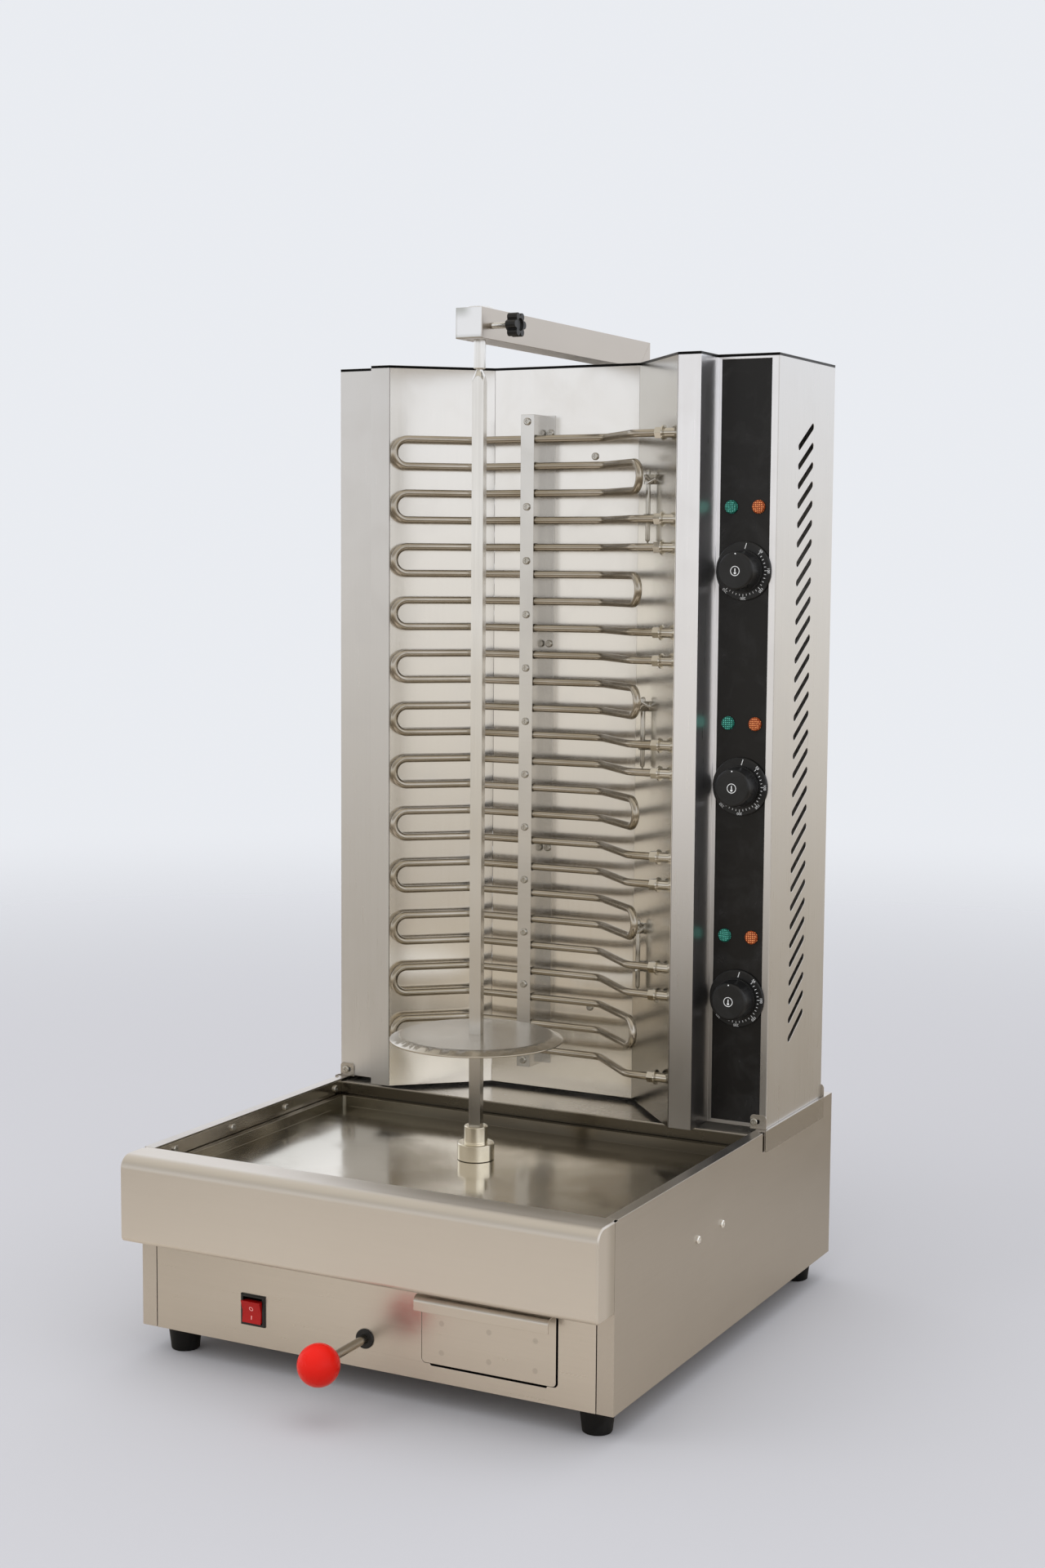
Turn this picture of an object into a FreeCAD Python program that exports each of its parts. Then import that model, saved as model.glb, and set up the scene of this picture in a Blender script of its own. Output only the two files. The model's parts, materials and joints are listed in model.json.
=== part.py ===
import FreeCAD, Part
import math
import os

# Electric doner kebab machine for a counter: a low casing with a lip, a drip pan and a drawer,
# a heating column with six tube elements, a turning spit and an arm that steadies its top.
# Millimetres. While modelling, X is to the right from the middle, Y to the back from the outer face
# of the front panel, and Z up from the lower edge of the casing. On writing, every piece is moved so
# that the origin lies on the ground, in the middle of the whole machine.

V = FreeCAD.Vector
X_AXIS = V(1, 0, 0)
Y_AXIS = V(0, 1, 0)
Z_AXIS = V(0, 0, 1)

# Sheet metal and general gaps
sheet = 1.2
seam = 0.3
panel_gap = 0.9
slack = 0.1
turning_gap = 0.05
over = 1.0
touch = 0.01

# Casing
base_width = 520.0
base_depth = 560.0
base_height = 180.0
front_flange = 17.0
bottom_flange = 52.0
top_flange = 12.0
panel_return = 14.0

# Lip along the front
lip_reach = 35.0
lip_height = 86.0
lip_top_radius = 13.0
lip_lower_radius = 5.0
lip_end_edge = 1.5
lip_cover = 5.0
lip_end_gap = 0.5

# Feet
foot_height = 28.0
foot_top_radius = 17.5
foot_bottom_radius = 14.0
foot_edge = 1.5
foot_inset_side = 30.0
foot_inset_front = 30.0
foot_inset_rear = 25.0

# Well, drip pan and rear deck
well_depth = 30.0
well_ledge = 14.0
well_rear = 352.0
deck_drop = 3.0
pan_wall = 1.0
pan_height = 12.5
pan_clearance = 8.0
pan_corner_radius = 5.0
pan_collar_play = 1.5
pan_rim = 6.5
pan_collar_height = 7.5
pan_collar_drop = 3.0
drain_x = 130.0
drain_y = 48.0
drain_radius = 8.0
drain_length = 42.0
fitting_flange = 4.0

# Heating column, plan sizes
column_inset = 2.0
column_rear_gap = 30.0
column_height = 791.0
box_front = 368.0
left_box_width = 55.0
left_fin_width = 23.0
left_fin_reach = 27.0
right_box_width = 66.0
right_fin_width = 25.0
right_fin_reach = 44.0
reflector_y = 421.5
wing_spread = 87.0
reflector_sheet = 1.0

# Vent slots in the right side of the column
vent_count = 32
vent_pitch = 19.87
vent_below_top = 79.5
vent_y = 447.0
vent_length = 50.0
vent_width = 6.6
vent_slope = 31.0
rear_slot_rows = 9
rear_slots_below_top = (671.0, 271.0)
rear_slot_pitch = 18.0
rear_slot_length = 60.0
rear_slot_width = 5.0
rear_slot_spread = 150.0

# Brackets that tie the column to the casing
bracket_skirt = 22.0
bracket_web = 21.0
bracket_start = 360.0
tab_inner_inset = 19.5
tab_outer_inset = 1.8
tab_height = 14.0
tab_corner = 4.0
tab_screw_inset_left = 9.5
tab_screw_inset_right = 15.0
tab_screw_level = 6.5
tab_slot_length = 10.0
tab_slot_width = 4.4
tab_slot_shift = 1.5
relief_width = 5.0
relief_slot = 6.0
relief_depth = 20.0

# Control fascia, dials, lamps
fascia_left_strip = 4.0
fascia_right_strip = 8.0
fascia_end_strip = 4.0
fascia_thickness = 2.0
zones_below_top = (217.5, 437.0, 656.5)
lamp_above_dial = 64.5
lamp_spacing = 29.6
lamp_radius = 7.0
lamp_reach = 3.0
lamp_crown = 1.8
lamp_stem_radius = 5.0
lamp_stem_length = 18.0
dial_radius = 30.0
dial_thickness = 2.2
dial_edge = 0.9
dial_hub_radius = 19.0
knob_radius = 21.5
knob_face_radius = 19.0
knob_length = 21.0
knob_skirt = 3.0
knob_skirt_step = 1.0
knob_edge = 2.5
knob_web = 6.0
shaft_hole_play = 0.5
dial_bore_play = 1.0
fascia_overlap_left = 2.5
fascia_overlap_right = 5.5
shaft_radius = 3.0
thermostat_width = 44.0
thermostat_height = 38.0
thermostat_depth = 32.0
thermostat_neck = 5.0
thermostat_neck_radius = 8.0

# Tube elements
element_count = 6
rows_per_element = 4
rows_below_top = 79.0
row_pitch = 28.8
tube_radius = 4.0
tube_standoff = 25.5
tube_left_kink_out = 13.6
tube_right_kink_in = 27.2
tube_wing_angle = 42.0
tube_left_run = 86.5
tube_right_run = 91.8
tube_end_angle = 45.0
tube_end_y = 336.0
tube_past_wing = 15.6
bend_radius = 20.0
gland_before_wing = 17.9
gland_hex = 11.0
gland_length = 8.0
gland_washer_radius = 8.0
gland_washer = 1.5
gland_thread_radius = 5.2
terminal_radius = 1.6
terminal_length = 11.0
gland_thread_end = 2.0

# Clamp that holds the elements
clamp_left = -45.0
clamp_width = 16.0
clamp_strip_thickness = 1.5
clamp_above = 26.0
clamp_below = 20.0
clamp_screw_inset = 7.5
clamp_screw_shank = 13.0
clamp_flange = 10.0
clamp_notch_play = 0.3
clamp_screws_below_top = (71.5, 298.0, 521.5)

# Temperature feelers on the right wing of the reflector
feeler_radius = 2.5
feeler_length = 74.0
feelers_below_top = (114.0, 350.0, 587.0)
feeler_along = (54.0, 45.0, 37.0)
feeler_standoff = 6.0
capillary_radius = 0.9
capillary_drop = 6.0
clip_height = 10.0
clip_wall = 1.0
clip_foot = 4.0
clip_places = (0.25, 0.8)
capillary_bend = 3.0

# Spit and its drive
spit_y = 216.0
rod_side = 12.0
rod_in_socket = 2.0
rod_turn = 12.0
rod_shoulder_below_arm = 41.0
rod_top_below_arm = 28.6
rod_tip_radius = 3.0
rod_tip_length = 9.0
rod_tip_edge = 1.0
socket_radius = 19.0
socket_height = 17.0
socket_edge = 1.0
skirt_clearance = 0.5
collar_radius = 12.0
collar_height = 17.5
collar_play = 0.15
collar_edge = 0.8
skirt_wall = 2.8
skirt_depth = 9.0
drive_radius = 9.0
drive_seat = 10.0
bearing_radius = 13.0
bearing_flange_radius = 24.0
bearing_flange = 5.0
bearing_below_collar = 2.0
disc_radius = 88.5
disc_flat_radius = 77.0
disc_drop = 4.5
disc_sheet = 1.5
disc_rim_height = 277.5
disc_play = 0.3
disc_pin_radius = 2.5
disc_pin_length = 30.0
gearbox_width = 90.0
gearbox_depth = 90.0
gearbox_height = 58.0
gearbox_corner = 8.0
motor_radius = 30.0
motor_length = 95.0
motor_lift = 1.0

# Arm over the spit
arm_side = 30.0
arm_wall = 1.5
arm_front = 193.0
arm_above_column = 8.0
post_foot = 20.0
arm_block = 22.0
arm_open_edge = 9.0
arm_block_lift = 1.0
pin_radius = 6.0
pin_socket_depth = 11.0
pin_head_radius = 13.0
pin_head = 2.0
pin_lift = 0.6
pin_edge = 0.6
star_radius = 8.5
star_lobe_radius = 4.0
star_lobes = 6
star_thickness = 11.0
star_centre = 40.0
star_drop = 1.5
star_hub_wall = 3.0
star_dish_wall = 2.5
star_dish_depth = 2.0
stud_radius = 3.0
post_bolt_heights = (50.0, 140.0)
bolt_radius = 4.0
bolt_head = 5.0
bolt_head_width = 13.0
bolt_nut = 6.0
bolt_end = 8.0
strap_height = 34.0
strap_below_top = 91.0
strap_thickness = 2.0
strap_flange = 16.0
strap_grip = 20.0

# Pull rod with its ball
pull_rod_radius = 4.25
pull_rod_height = 28.8
ball_radius = 20.0
ball_reach = 81.0
ball_bore_depth = 22.0
bush_flange_radius = 9.5
bush_body_radius = 7.0
bush_flange = 2.2
bush_length = 14.0
bush_nut = 4.0
bush_edge = 1.0
pull_rod_grip = 28.0
boss_radius = 11.0
boss_length = 14.0
rod_bore_extra = 2.0

# Rocker switch
switch_x = -127.0
switch_height = 35.7
switch_width = 28.0
switch_tall = 31.0
switch_flange = 2.0
switch_edge = 0.8
switch_body_inset = 1.5
switch_back = 3.0
prong_width = 6.0
prong_thickness = 0.8
prong_length = 8.0
prong_spacing = 7.0
switch_wall = 2.6
switch_depth = 18.0
rocker_width = 21.6
rocker_half = 11.3
rocker_rest = 7.0
rocker_front = 8.5
rocker_waist = 6.2
rocker_back = 4.0
rocker_pivot = 3.0
rocker_pin_radius = 1.4
rocker_pin_reach = 1.0
rocker_back_share = 0.7

# Drawer
drawer_left = 62.0
drawer_width = 140.0
drawer_bottom = 17.2
drawer_face_height = 66.8
drawer_corner = 4.0
drawer_right_gap = 2.2
drawer_left_gap = 0.4
drawer_lower_gap = 0.3
slit_inset = 10.5
slit_depth = 1.8
drawer_top_gap = 4.0
grip_reach = 16.0
grip_drop = 14.0
grip_radius = 6.0
tray_inset = 4.0
tray_height = 60.0
tray_depth = 280.0
tray_sheet = 1.0
tray_lift = 1.8
runner_gap = 0.3
runner_height = 40.0
runner_lip = 9.0
runner_start = 3.0
runner_extra = 2.0

# Air slots in the back and the floor of the casing
casing_slot_rows = 6
casing_slot_first = 60.0
casing_slot_pitch = 14.0
casing_slot_width = 4.0
casing_slot_start = 85.0
casing_slot_end = 155.0
floor_slot_rows = 5
floor_slot_first = 400.0
floor_slot_pitch = 22.0
floor_slot_width = 6.0
floor_slot_start = 90.0
floor_slot_end = 170.0

# Cable inlet and terminal block
gland_x = 180.0
gland_z = 60.0
inlet_radius = 11.0
inlet_bore = 5.0
inlet_reach = 16.0
inlet_inside = 10.0
inlet_wall = 3.0
inlet_nut = 5.0
terminal_block_size = (60.0, 22.0, 18.0)
terminal_block_inset = 70.0
terminal_ways = 5
terminal_well_radius = 2.6
terminal_well_depth = 8.0
terminal_well_rows = (0.28, 0.72)

# Fasteners
screw_head_radius = 4.0
screw_head = 2.3
screw_head_round = 0.55
screw_shank_radius = 1.9
screw_shank = 6.0
screw_cross = 4.4
screw_cross_width = 0.9
screw_cross_depth = 1.1
well_screw_drop = 9.0
well_screw_first = 39.0
well_screw_pitch = 100.0
well_screw_count = 4
side_screws = ((246.9, 113.0), (186.8, 113.0))
reflector_screw_x = 29.0
reflector_screws_below_top = (97.0, 694.0)

# Places worked out from the sizes above
half_width = base_width / 2
well_half = half_width - top_flange
floor_top = 2 * sheet
lip_bottom = base_height - lip_height
well_floor = base_height - well_depth
pan_floor = well_floor + sheet + pan_wall
column_half = half_width - column_inset
column_base = base_height + sheet
column_rear = base_depth - column_rear_gap
column_top = base_height + column_height
shell_top = column_top - sheet
zone_heights = [column_top - drop for drop in zones_below_top]
left_box_right = -column_half + left_box_width
left_fin_right = left_box_right + left_fin_width
left_fin_front = box_front + sheet - left_fin_reach
right_box_left = column_half - right_box_width
right_fin_left = right_box_left - right_fin_width
right_fin_front = box_front - right_fin_reach
reflector_left = left_fin_right + wing_spread
reflector_right = right_fin_left - wing_spread
fascia_left = right_box_left + fascia_left_strip
fascia_right = column_half - fascia_right_strip
fascia_middle = (fascia_left + fascia_right) / 2
fascia_front = box_front + sheet
tube_y = reflector_y - tube_standoff
tube_left_kink = reflector_left - tube_left_kink_out
tube_right_kink = reflector_right - tube_right_kink_in
clamp_right = clamp_left + clamp_width
row_heights = [column_top - rows_below_top - row_pitch * i for i in range(element_count * rows_per_element)]
clamp_top = row_heights[0] + clamp_above
clamp_foot = row_heights[-1] - clamp_below
skirt_bottom = pan_floor + skirt_clearance
socket_top = skirt_bottom + socket_height
collar_top = socket_top + collar_height
rod_bottom = socket_top - rod_in_socket
arm_bottom = column_top + arm_above_column
arm_top = arm_bottom + arm_side
rod_shoulder = arm_bottom - rod_shoulder_below_arm
rod_top = arm_bottom - rod_top_below_arm
strap_level = column_top - strap_below_top
post_front = base_depth
post_rear = base_depth + arm_side
gearbox_top = floor_top + gearbox_height
drawer_right = drawer_left + drawer_width
drawer_top = drawer_bottom + drawer_face_height
tray_left = drawer_left + tray_inset
tray_right = drawer_right - tray_inset
tray_bottom = drawer_bottom + tray_lift
tab_inner = half_width - tab_inner_inset
tab_outer = half_width - tab_outer_inset
tab_screws = {-1: half_width - tab_screw_inset_left, 1: half_width - tab_screw_inset_right}

# Where the straight ends of the tubes pass the right wing of the reflector
wing_share = (reflector_y - tube_end_y) / (reflector_y - right_fin_front)
wing_crossing = reflector_right + wing_share * (right_fin_left - reflector_right)
gland_reach = wing_crossing - gland_before_wing
tube_end_x = wing_crossing + tube_past_wing

# The whole machine reaches from the front of the ball to the heads of the rear bolts
front_reach = ball_reach + ball_radius
rear_reach = post_rear + bolt_head
origin_y = (rear_reach - front_reach) / 2

pieces = {}


def box(x0, x1, y0, y1, z0, z1):
    low = V(min(x0, x1), min(y0, y1), min(z0, z1))
    return Part.makeBox(abs(x1 - x0), abs(y1 - y0), abs(z1 - z0), low)


def rod(radius, start, end):
    start, end = V(*start), V(*end)
    return Part.makeCylinder(radius, (end - start).Length, start, end - start)


def cone(radius0, radius1, start, end):
    start, end = V(*start), V(*end)
    return Part.makeCone(radius0, radius1, (end - start).Length, start, end - start)


def fuse(*shapes):
    joined = shapes[0].multiFuse(list(shapes[1:]))
    return joined.removeSplitter()


def cut(shape, *tools):
    return shape.cut(list(tools))


def prism_up(points, z0, z1):
    """Outline in X and Y, raised from z0 to z1."""
    loop = [V(x, y, z0) for x, y in points]
    face = Part.Face(Part.makePolygon(loop + [loop[0]]))
    return face.extrude(V(0, 0, z1 - z0))


def prism_across(points, x0, x1):
    """Outline in Y and Z, run from x0 to x1."""
    loop = [V(x0, y, z) for y, z in points]
    face = Part.Face(Part.makePolygon(loop + [loop[0]]))
    return face.extrude(V(x1 - x0, 0, 0))


def offset_path(points, distance):
    """The same path in plan, moved to its left-hand side with mitred corners."""
    moved = []
    for i, (x, y) in enumerate(points):
        normals = []
        for a, b in ((i - 1, i), (i, i + 1)):
            if a < 0 or b >= len(points):
                continue
            dx = points[b][0] - points[a][0]
            dy = points[b][1] - points[a][1]
            length = math.hypot(dx, dy)
            normals.append((-dy / length, dx / length))
        nx = sum(n[0] for n in normals) / len(normals)
        ny = sum(n[1] for n in normals) / len(normals)
        stretch = distance / (nx * nx + ny * ny)
        moved.append((x + nx * stretch, y + ny * stretch))
    return moved


def folded_sheet(points, thickness, z0, z1):
    """Sheet on edge that follows a path in plan, its thickness on the path's left."""
    return prism_up(list(points) + offset_path(points, thickness)[::-1], z0, z1)


def rounded_wire(points, radii):
    """Straight runs through the points, each corner an arc that is tangent to its two runs."""
    edges = []
    last = points[0]
    for i in range(1, len(points) - 1):
        back = (points[i - 1] - points[i]).normalize()
        ahead = (points[i + 1] - points[i]).normalize()
        turn = math.pi - back.getAngle(ahead)
        reach = radii[i] * math.tan(turn / 2)
        first = points[i] + back * reach
        second = points[i] + ahead * reach
        towards = (back + ahead).normalize()
        centre = points[i] + towards * (radii[i] / math.cos(turn / 2))
        middle = centre - towards * radii[i]
        if (first - last).Length > touch:
            edges.append(Part.LineSegment(last, first).toShape())
        edges.append(Part.Arc(first, middle, second).toShape())
        last = second
    edges.append(Part.LineSegment(last, points[-1]).toShape())
    return Part.Wire(edges)


def tube_along(wire, start, direction, radius):
    ring = Part.Wire([Part.makeCircle(radius, start, direction)])
    return wire.makePipeShell([ring], True, False)


def slot(length, width, depth, centre, angle):
    """Slot with round ends, cut through along X, its length turned up from Y by the angle."""
    half = (length - width) / 2
    body = box(-depth, depth, -half, half, -width / 2, width / 2)
    ends = [rod(width / 2, (-depth, side * half, 0), (depth, side * half, 0)) for side in (-1, 1)]
    whole = fuse(body, *ends)
    whole.rotate(V(0, 0, 0), X_AXIS, angle)
    whole.translate(V(*centre))
    return whole


def hexagon(width, start, length):
    """Hexagonal bar along X, with its width across flats."""
    corner = width / math.sqrt(3)
    loop = []
    for i in range(6):
        angle = math.radians(60 * i)
        loop.append((start[1] + corner * math.cos(angle), start[2] + corner * math.sin(angle)))
    return prism_across(loop, start[0], start[0] + length)


def turned(shape, start, direction):
    """A shape made along +Z at the origin, set at start and pointed along direction."""
    shape = shape.copy()
    shape.Placement = FreeCAD.Placement(V(*start), FreeCAD.Rotation(Z_AXIS, V(*direction)))
    return shape


def pan_head_screw(shank_length):
    """Cross-recessed pan-head screw, its seat at z = 0, head up and shank down."""
    head = Part.makeCylinder(screw_head_radius, screw_head)
    head = head.makeFillet(screw_head * screw_head_round, [head.Edges[0]])
    shank = rod(screw_shank_radius, (0, 0, -shank_length), (0, 0, 0))
    arm = screw_cross / 2
    half = screw_cross_width / 2
    low = screw_head - screw_cross_depth
    recess = fuse(box(-arm, arm, -half, half, low, screw_head),
                  box(-half, half, -arm, arm, low, screw_head))
    return cut(fuse(head, shank), recess)


def screw_places():
    """Seat, outward direction and shank length of every pan-head screw."""
    places = []
    for side in (-1, 1):
        for i in range(well_screw_count):
            y = well_screw_first + i * well_screw_pitch
            seat = (side * well_half, y, base_height - well_screw_drop)
            places.append((seat, (-side, 0, 0), screw_shank))
        for y, z in side_screws:
            places.append(((side * half_width, y, z), (side, 0, 0), screw_shank))
    for side, inset in tab_screws.items():
        seat = (side * inset, box_front - sheet, column_base + tab_screw_level)
        places.append((seat, (0, -1, 0), screw_shank))
    clamp_x = clamp_left + clamp_width / 2
    strip_front = tube_y - tube_radius - slack - clamp_strip_thickness
    levels = [clamp_top - clamp_screw_inset, clamp_foot + clamp_screw_inset]
    for i in range(2, len(row_heights) - 2, 2):
        levels.append((row_heights[i] + row_heights[i + 1]) / 2)
    for z in levels:
        places.append(((clamp_x, strip_front, z), (0, -1, 0), clamp_screw_shank))
    for drop in clamp_screws_below_top:
        seat = (clamp_right + clamp_flange / 2, reflector_y - slack - sheet, column_top - drop)
        places.append((seat, (0, -1, 0), screw_shank))
    for drop in reflector_screws_below_top:
        seat = (reflector_screw_x, reflector_y, column_top - drop)
        places.append((seat, (0, -1, 0), screw_shank))
    return places


all_screws = screw_places()
screw_tools = []
for seat, outward, shank_length in all_screws:
    drill = rod(screw_shank_radius + slack, (0, 0, -shank_length - over), (0, 0, 0))
    screw_tools.append(turned(drill, seat, outward))


def drilled(shape):
    """The sheet with a hole for every screw that passes through it."""
    near = [tool for tool in screw_tools if tool.BoundBox.intersect(shape.BoundBox)]
    return cut(shape, *near) if near else shape


def make_screws():
    return [turned(pan_head_screw(length), seat, outward) for seat, outward, length in all_screws]


def make_base_side(side):
    outer = side * half_width
    inner = side * (half_width - sheet)
    front_top = base_height - sheet - seam
    wall = box(outer, inner, 0, base_depth, 0, base_height)
    lip_room = box(side * (half_width + over), side * (half_width - 2 * sheet), -over, lip_cover + seam,
                   front_top, base_height + over)
    front = box(inner, side * (half_width - front_flange), 0, sheet, 0, front_top)
    bottom = box(inner, side * (half_width - bottom_flange), sheet + seam, base_depth - sheet - seam,
                 0, sheet)
    top = box(inner, side * well_half, lip_cover + seam, base_depth, base_height - sheet, base_height)
    relief = box(side * (half_width + over), side * (half_width - relief_width),
                 bracket_start - seam - relief_slot, bracket_start - seam,
                 base_height - relief_depth, base_height + over)
    return drilled(cut(fuse(wall, front, bottom, top), lip_room, relief))


def make_front_panel():
    half = half_width - front_flange - panel_gap
    top = base_height - sheet - seam
    face = box(-half, half, 0, sheet, 0, top)
    flange_half = half_width - bottom_flange - panel_gap
    flange = box(-flange_half, flange_half, sheet, sheet + panel_return, 0, sheet)
    drawer_hole = box(drawer_left - drawer_left_gap, drawer_right + drawer_right_gap, -over, 2 * sheet,
                      drawer_bottom - drawer_lower_gap, drawer_top + drawer_top_gap)
    low_edges = [e for e in drawer_hole.Edges if e.BoundBox.YLength > sheet
                 and e.BoundBox.ZMax < drawer_bottom]
    drawer_hole = drawer_hole.makeFillet(drawer_corner + seam, low_edges)
    slit_z = drawer_bottom - drawer_lower_gap
    slit = box(drawer_left + slit_inset, drawer_right - slit_inset, -over, 2 * sheet,
               slit_z - slit_depth, slit_z + slit_depth)
    slit_ends = [rod(slit_depth, (x, -over, slit_z), (x, 2 * sheet, slit_z))
                 for x in (drawer_left + slit_inset, drawer_right - slit_inset)]
    inner_half_x = switch_width / 2 - switch_body_inset + slack
    inner_half_z = switch_tall / 2 - switch_body_inset + slack
    switch_hole = box(switch_x - inner_half_x, switch_x + inner_half_x, -over, 2 * sheet,
                      switch_height - inner_half_z, switch_height + inner_half_z)
    bush_hole = rod(bush_body_radius + slack, (0, -over, pull_rod_height), (0, 2 * sheet, pull_rod_height))
    return cut(fuse(face, flange), drawer_hole, slit, switch_hole, bush_hole, *slit_ends)


def lip_outline(inset, back):
    """Side outline of the lip, made smaller all round by the inset, as a wire at x = 0."""
    front = -lip_reach + inset
    top = base_height - inset
    bottom = lip_bottom + inset
    big = lip_top_radius - inset
    small = lip_lower_radius - inset
    corner = math.sqrt(0.5)

    def arc(y, z, radius, way):
        ends = (V(0, y - radius, z), V(0, y - radius * corner, z + way * radius * corner),
                V(0, y, z + way * radius))
        return Part.Arc(*ends).toShape()

    def line(y0, z0, y1, z1):
        return Part.LineSegment(V(0, y0, z0), V(0, y1, z1)).toShape()

    edges = [line(back, bottom, front + small, bottom), arc(front + small, bottom + small, small, -1),
             line(front, bottom + small, front, top - big), arc(front + big, top - big, big, 1),
             line(front + big, top, back, top), line(back, top, back, bottom)]
    return Part.Wire(Part.__sortEdges__(edges))


def make_front_lip():
    outside = Part.Face(lip_outline(0, 0)).extrude(V(base_width, 0, 0))
    outside.translate(V(-half_width, 0, 0))
    upright = []
    for edge in outside.Edges:
        ends = [vertex.Point for vertex in edge.Vertexes]
        at_front = all(abs(point.y + lip_reach) < touch for point in ends)
        if len(ends) == 2 and at_front and abs(ends[0].x - ends[1].x) < touch:
            upright.append(edge)
    outside = outside.makeChamfer(lip_end_edge, upright)
    room = Part.Face(lip_outline(sheet, over)).extrude(V(base_width - 2 * sheet, 0, 0))
    room.translate(V(-half_width + sheet, 0, 0))
    cover_half = half_width - 2 * sheet - seam
    cover = box(-cover_half, cover_half, -lip_reach / 2, lip_cover, base_height - sheet, base_height)
    seams = [box(side * (half_width - 2 * sheet), side * (half_width + over), -lip_end_gap, over,
                 lip_bottom - over, base_height + over) for side in (-1, 1)]
    return fuse(cut(outside, room, *seams), cover)


def make_rear_panel():
    half = half_width - sheet - seam
    face = box(-half, half, base_depth - sheet, base_depth, 0, base_height - sheet - seam)
    before = base_depth - 2 * sheet
    behind = base_depth + over
    inlet = rod(inlet_radius - inlet_wall, (gland_x, before, gland_z), (gland_x, behind, gland_z))
    bolts = [rod(bolt_radius + slack, (0, before, z), (0, behind, z)) for z in post_bolt_heights]
    slots = []
    for i in range(casing_slot_rows):
        z = casing_slot_first + i * casing_slot_pitch
        slots.append(box(-casing_slot_end, -casing_slot_start, before, behind, z, z + casing_slot_width))
    return cut(face, inlet, *bolts, *slots)


def make_floor():
    half = half_width - sheet - seam
    plate = box(-half, half, sheet + seam, base_depth - sheet - seam, sheet, floor_top)
    slots = []
    for side in (-1, 1):
        for i in range(floor_slot_rows):
            y = floor_slot_first + i * floor_slot_pitch
            slots.append(box(side * floor_slot_start, side * floor_slot_end, y, y + floor_slot_width,
                             0, 2 * floor_top))
    return cut(plate, *slots)


def make_well_frame():
    wall = sheet
    top = base_height - sheet - seam
    outer = well_half + wall
    front = lip_cover - wall
    sides = [box(side * well_half, side * outer, front, well_rear - seam, well_floor, top)
             for side in (-1, 1)]
    nose = box(-outer, outer, front, lip_cover, well_floor, top)
    ledge = box(-outer, outer, front, well_rear - seam, well_floor, well_floor + sheet)
    hollow = box(-well_half + well_ledge, well_half - well_ledge, lip_cover + well_ledge,
                 well_rear - seam - well_ledge, well_floor - over, well_floor + 2 * sheet)
    return drilled(cut(fuse(nose, ledge, *sides), hollow))


def make_rear_deck():
    half = half_width - sheet - seam
    top = base_height - deck_drop
    rear = base_depth - sheet - seam
    plate = box(-half, half, well_rear, rear, top - sheet, top)
    nose = box(-half, half, well_rear, well_rear + sheet, well_floor, top)
    sides = [box(side * half, side * (half - sheet), well_rear, rear, well_floor, top) for side in (-1, 1)]
    return fuse(plate, nose, *sides)


def upright_edges(shape):
    return [e for e in shape.Edges if abs(e.Vertexes[0].Z - e.Vertexes[-1].Z) > pan_wall / 2]


def make_drip_pan():
    half = well_half - pan_clearance
    front = lip_cover + pan_clearance
    rear = well_rear - seam - pan_clearance
    low = pan_floor - pan_wall
    top = low + pan_height
    outside = box(-half, half, front, rear, low, top)
    outside = outside.makeFillet(pan_corner_radius, upright_edges(outside))
    inside = box(-half + pan_wall, half - pan_wall, front + pan_wall, rear - pan_wall, pan_floor, top + over)
    inside = inside.makeFillet(pan_corner_radius - pan_wall, upright_edges(inside))
    rim = box(-half - pan_rim, half + pan_rim, front - pan_rim, rear + pan_rim, top - pan_wall, top)
    rim = rim.makeFillet(pan_corner_radius + pan_rim, upright_edges(rim))
    holes = [rod(bore + pan_wall + slack, (x, y, low - over), (x, y, pan_floor + over))
             for x, y, bore, drop, rise in pan_fitting_places()]
    return cut(fuse(outside, rim), inside, *holes)


def pan_fitting_places():
    """Place, bore, length below the pan and height above its floor: the collar, then the drain."""
    return [(0, spit_y, bearing_radius + pan_collar_play, pan_collar_drop, pan_collar_height),
            (drain_x, drain_y, drain_radius, drain_length, 0)]


def make_pan_fittings():
    """Collar round the bearing and drain pipe, both set into the floor of the pan."""
    low = pan_floor - pan_wall
    fittings = []
    for x, y, bore, drop, rise in pan_fitting_places():
        pipe = rod(bore + pan_wall, (x, y, low - drop), (x, y, pan_floor + rise))
        flange = rod(bore + fitting_flange, (x, y, low - slack - pan_wall), (x, y, low - slack))
        hollow = rod(bore, (x, y, low - drop - over), (x, y, pan_floor + rise + over))
        fittings.append(cut(fuse(pipe, flange), hollow))
    return Part.makeCompound(fittings)


def foot_places():
    x = half_width - foot_inset_side
    return [(side * x, y) for side in (-1, 1) for y in (foot_inset_front, base_depth - foot_inset_rear)]


def make_feet():
    feet = []
    for x, y in foot_places():
        body = cone(foot_bottom_radius, foot_top_radius, (x, y, -foot_height), (x, y, 0))
        low_ring = [e for e in body.Edges if e.BoundBox.ZMax < -foot_height + touch]
        feet.append(body.makeFillet(foot_edge, low_ring))
    return Part.makeCompound(feet)


def rounded_upper(shape):
    """The upright plate with its two upper corners rounded."""
    top = shape.BoundBox.ZMax
    corners = [e for e in shape.Edges if e.BoundBox.ZMin > top - touch and e.BoundBox.XLength < touch]
    return shape.makeFillet(tab_corner, corners)


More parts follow.
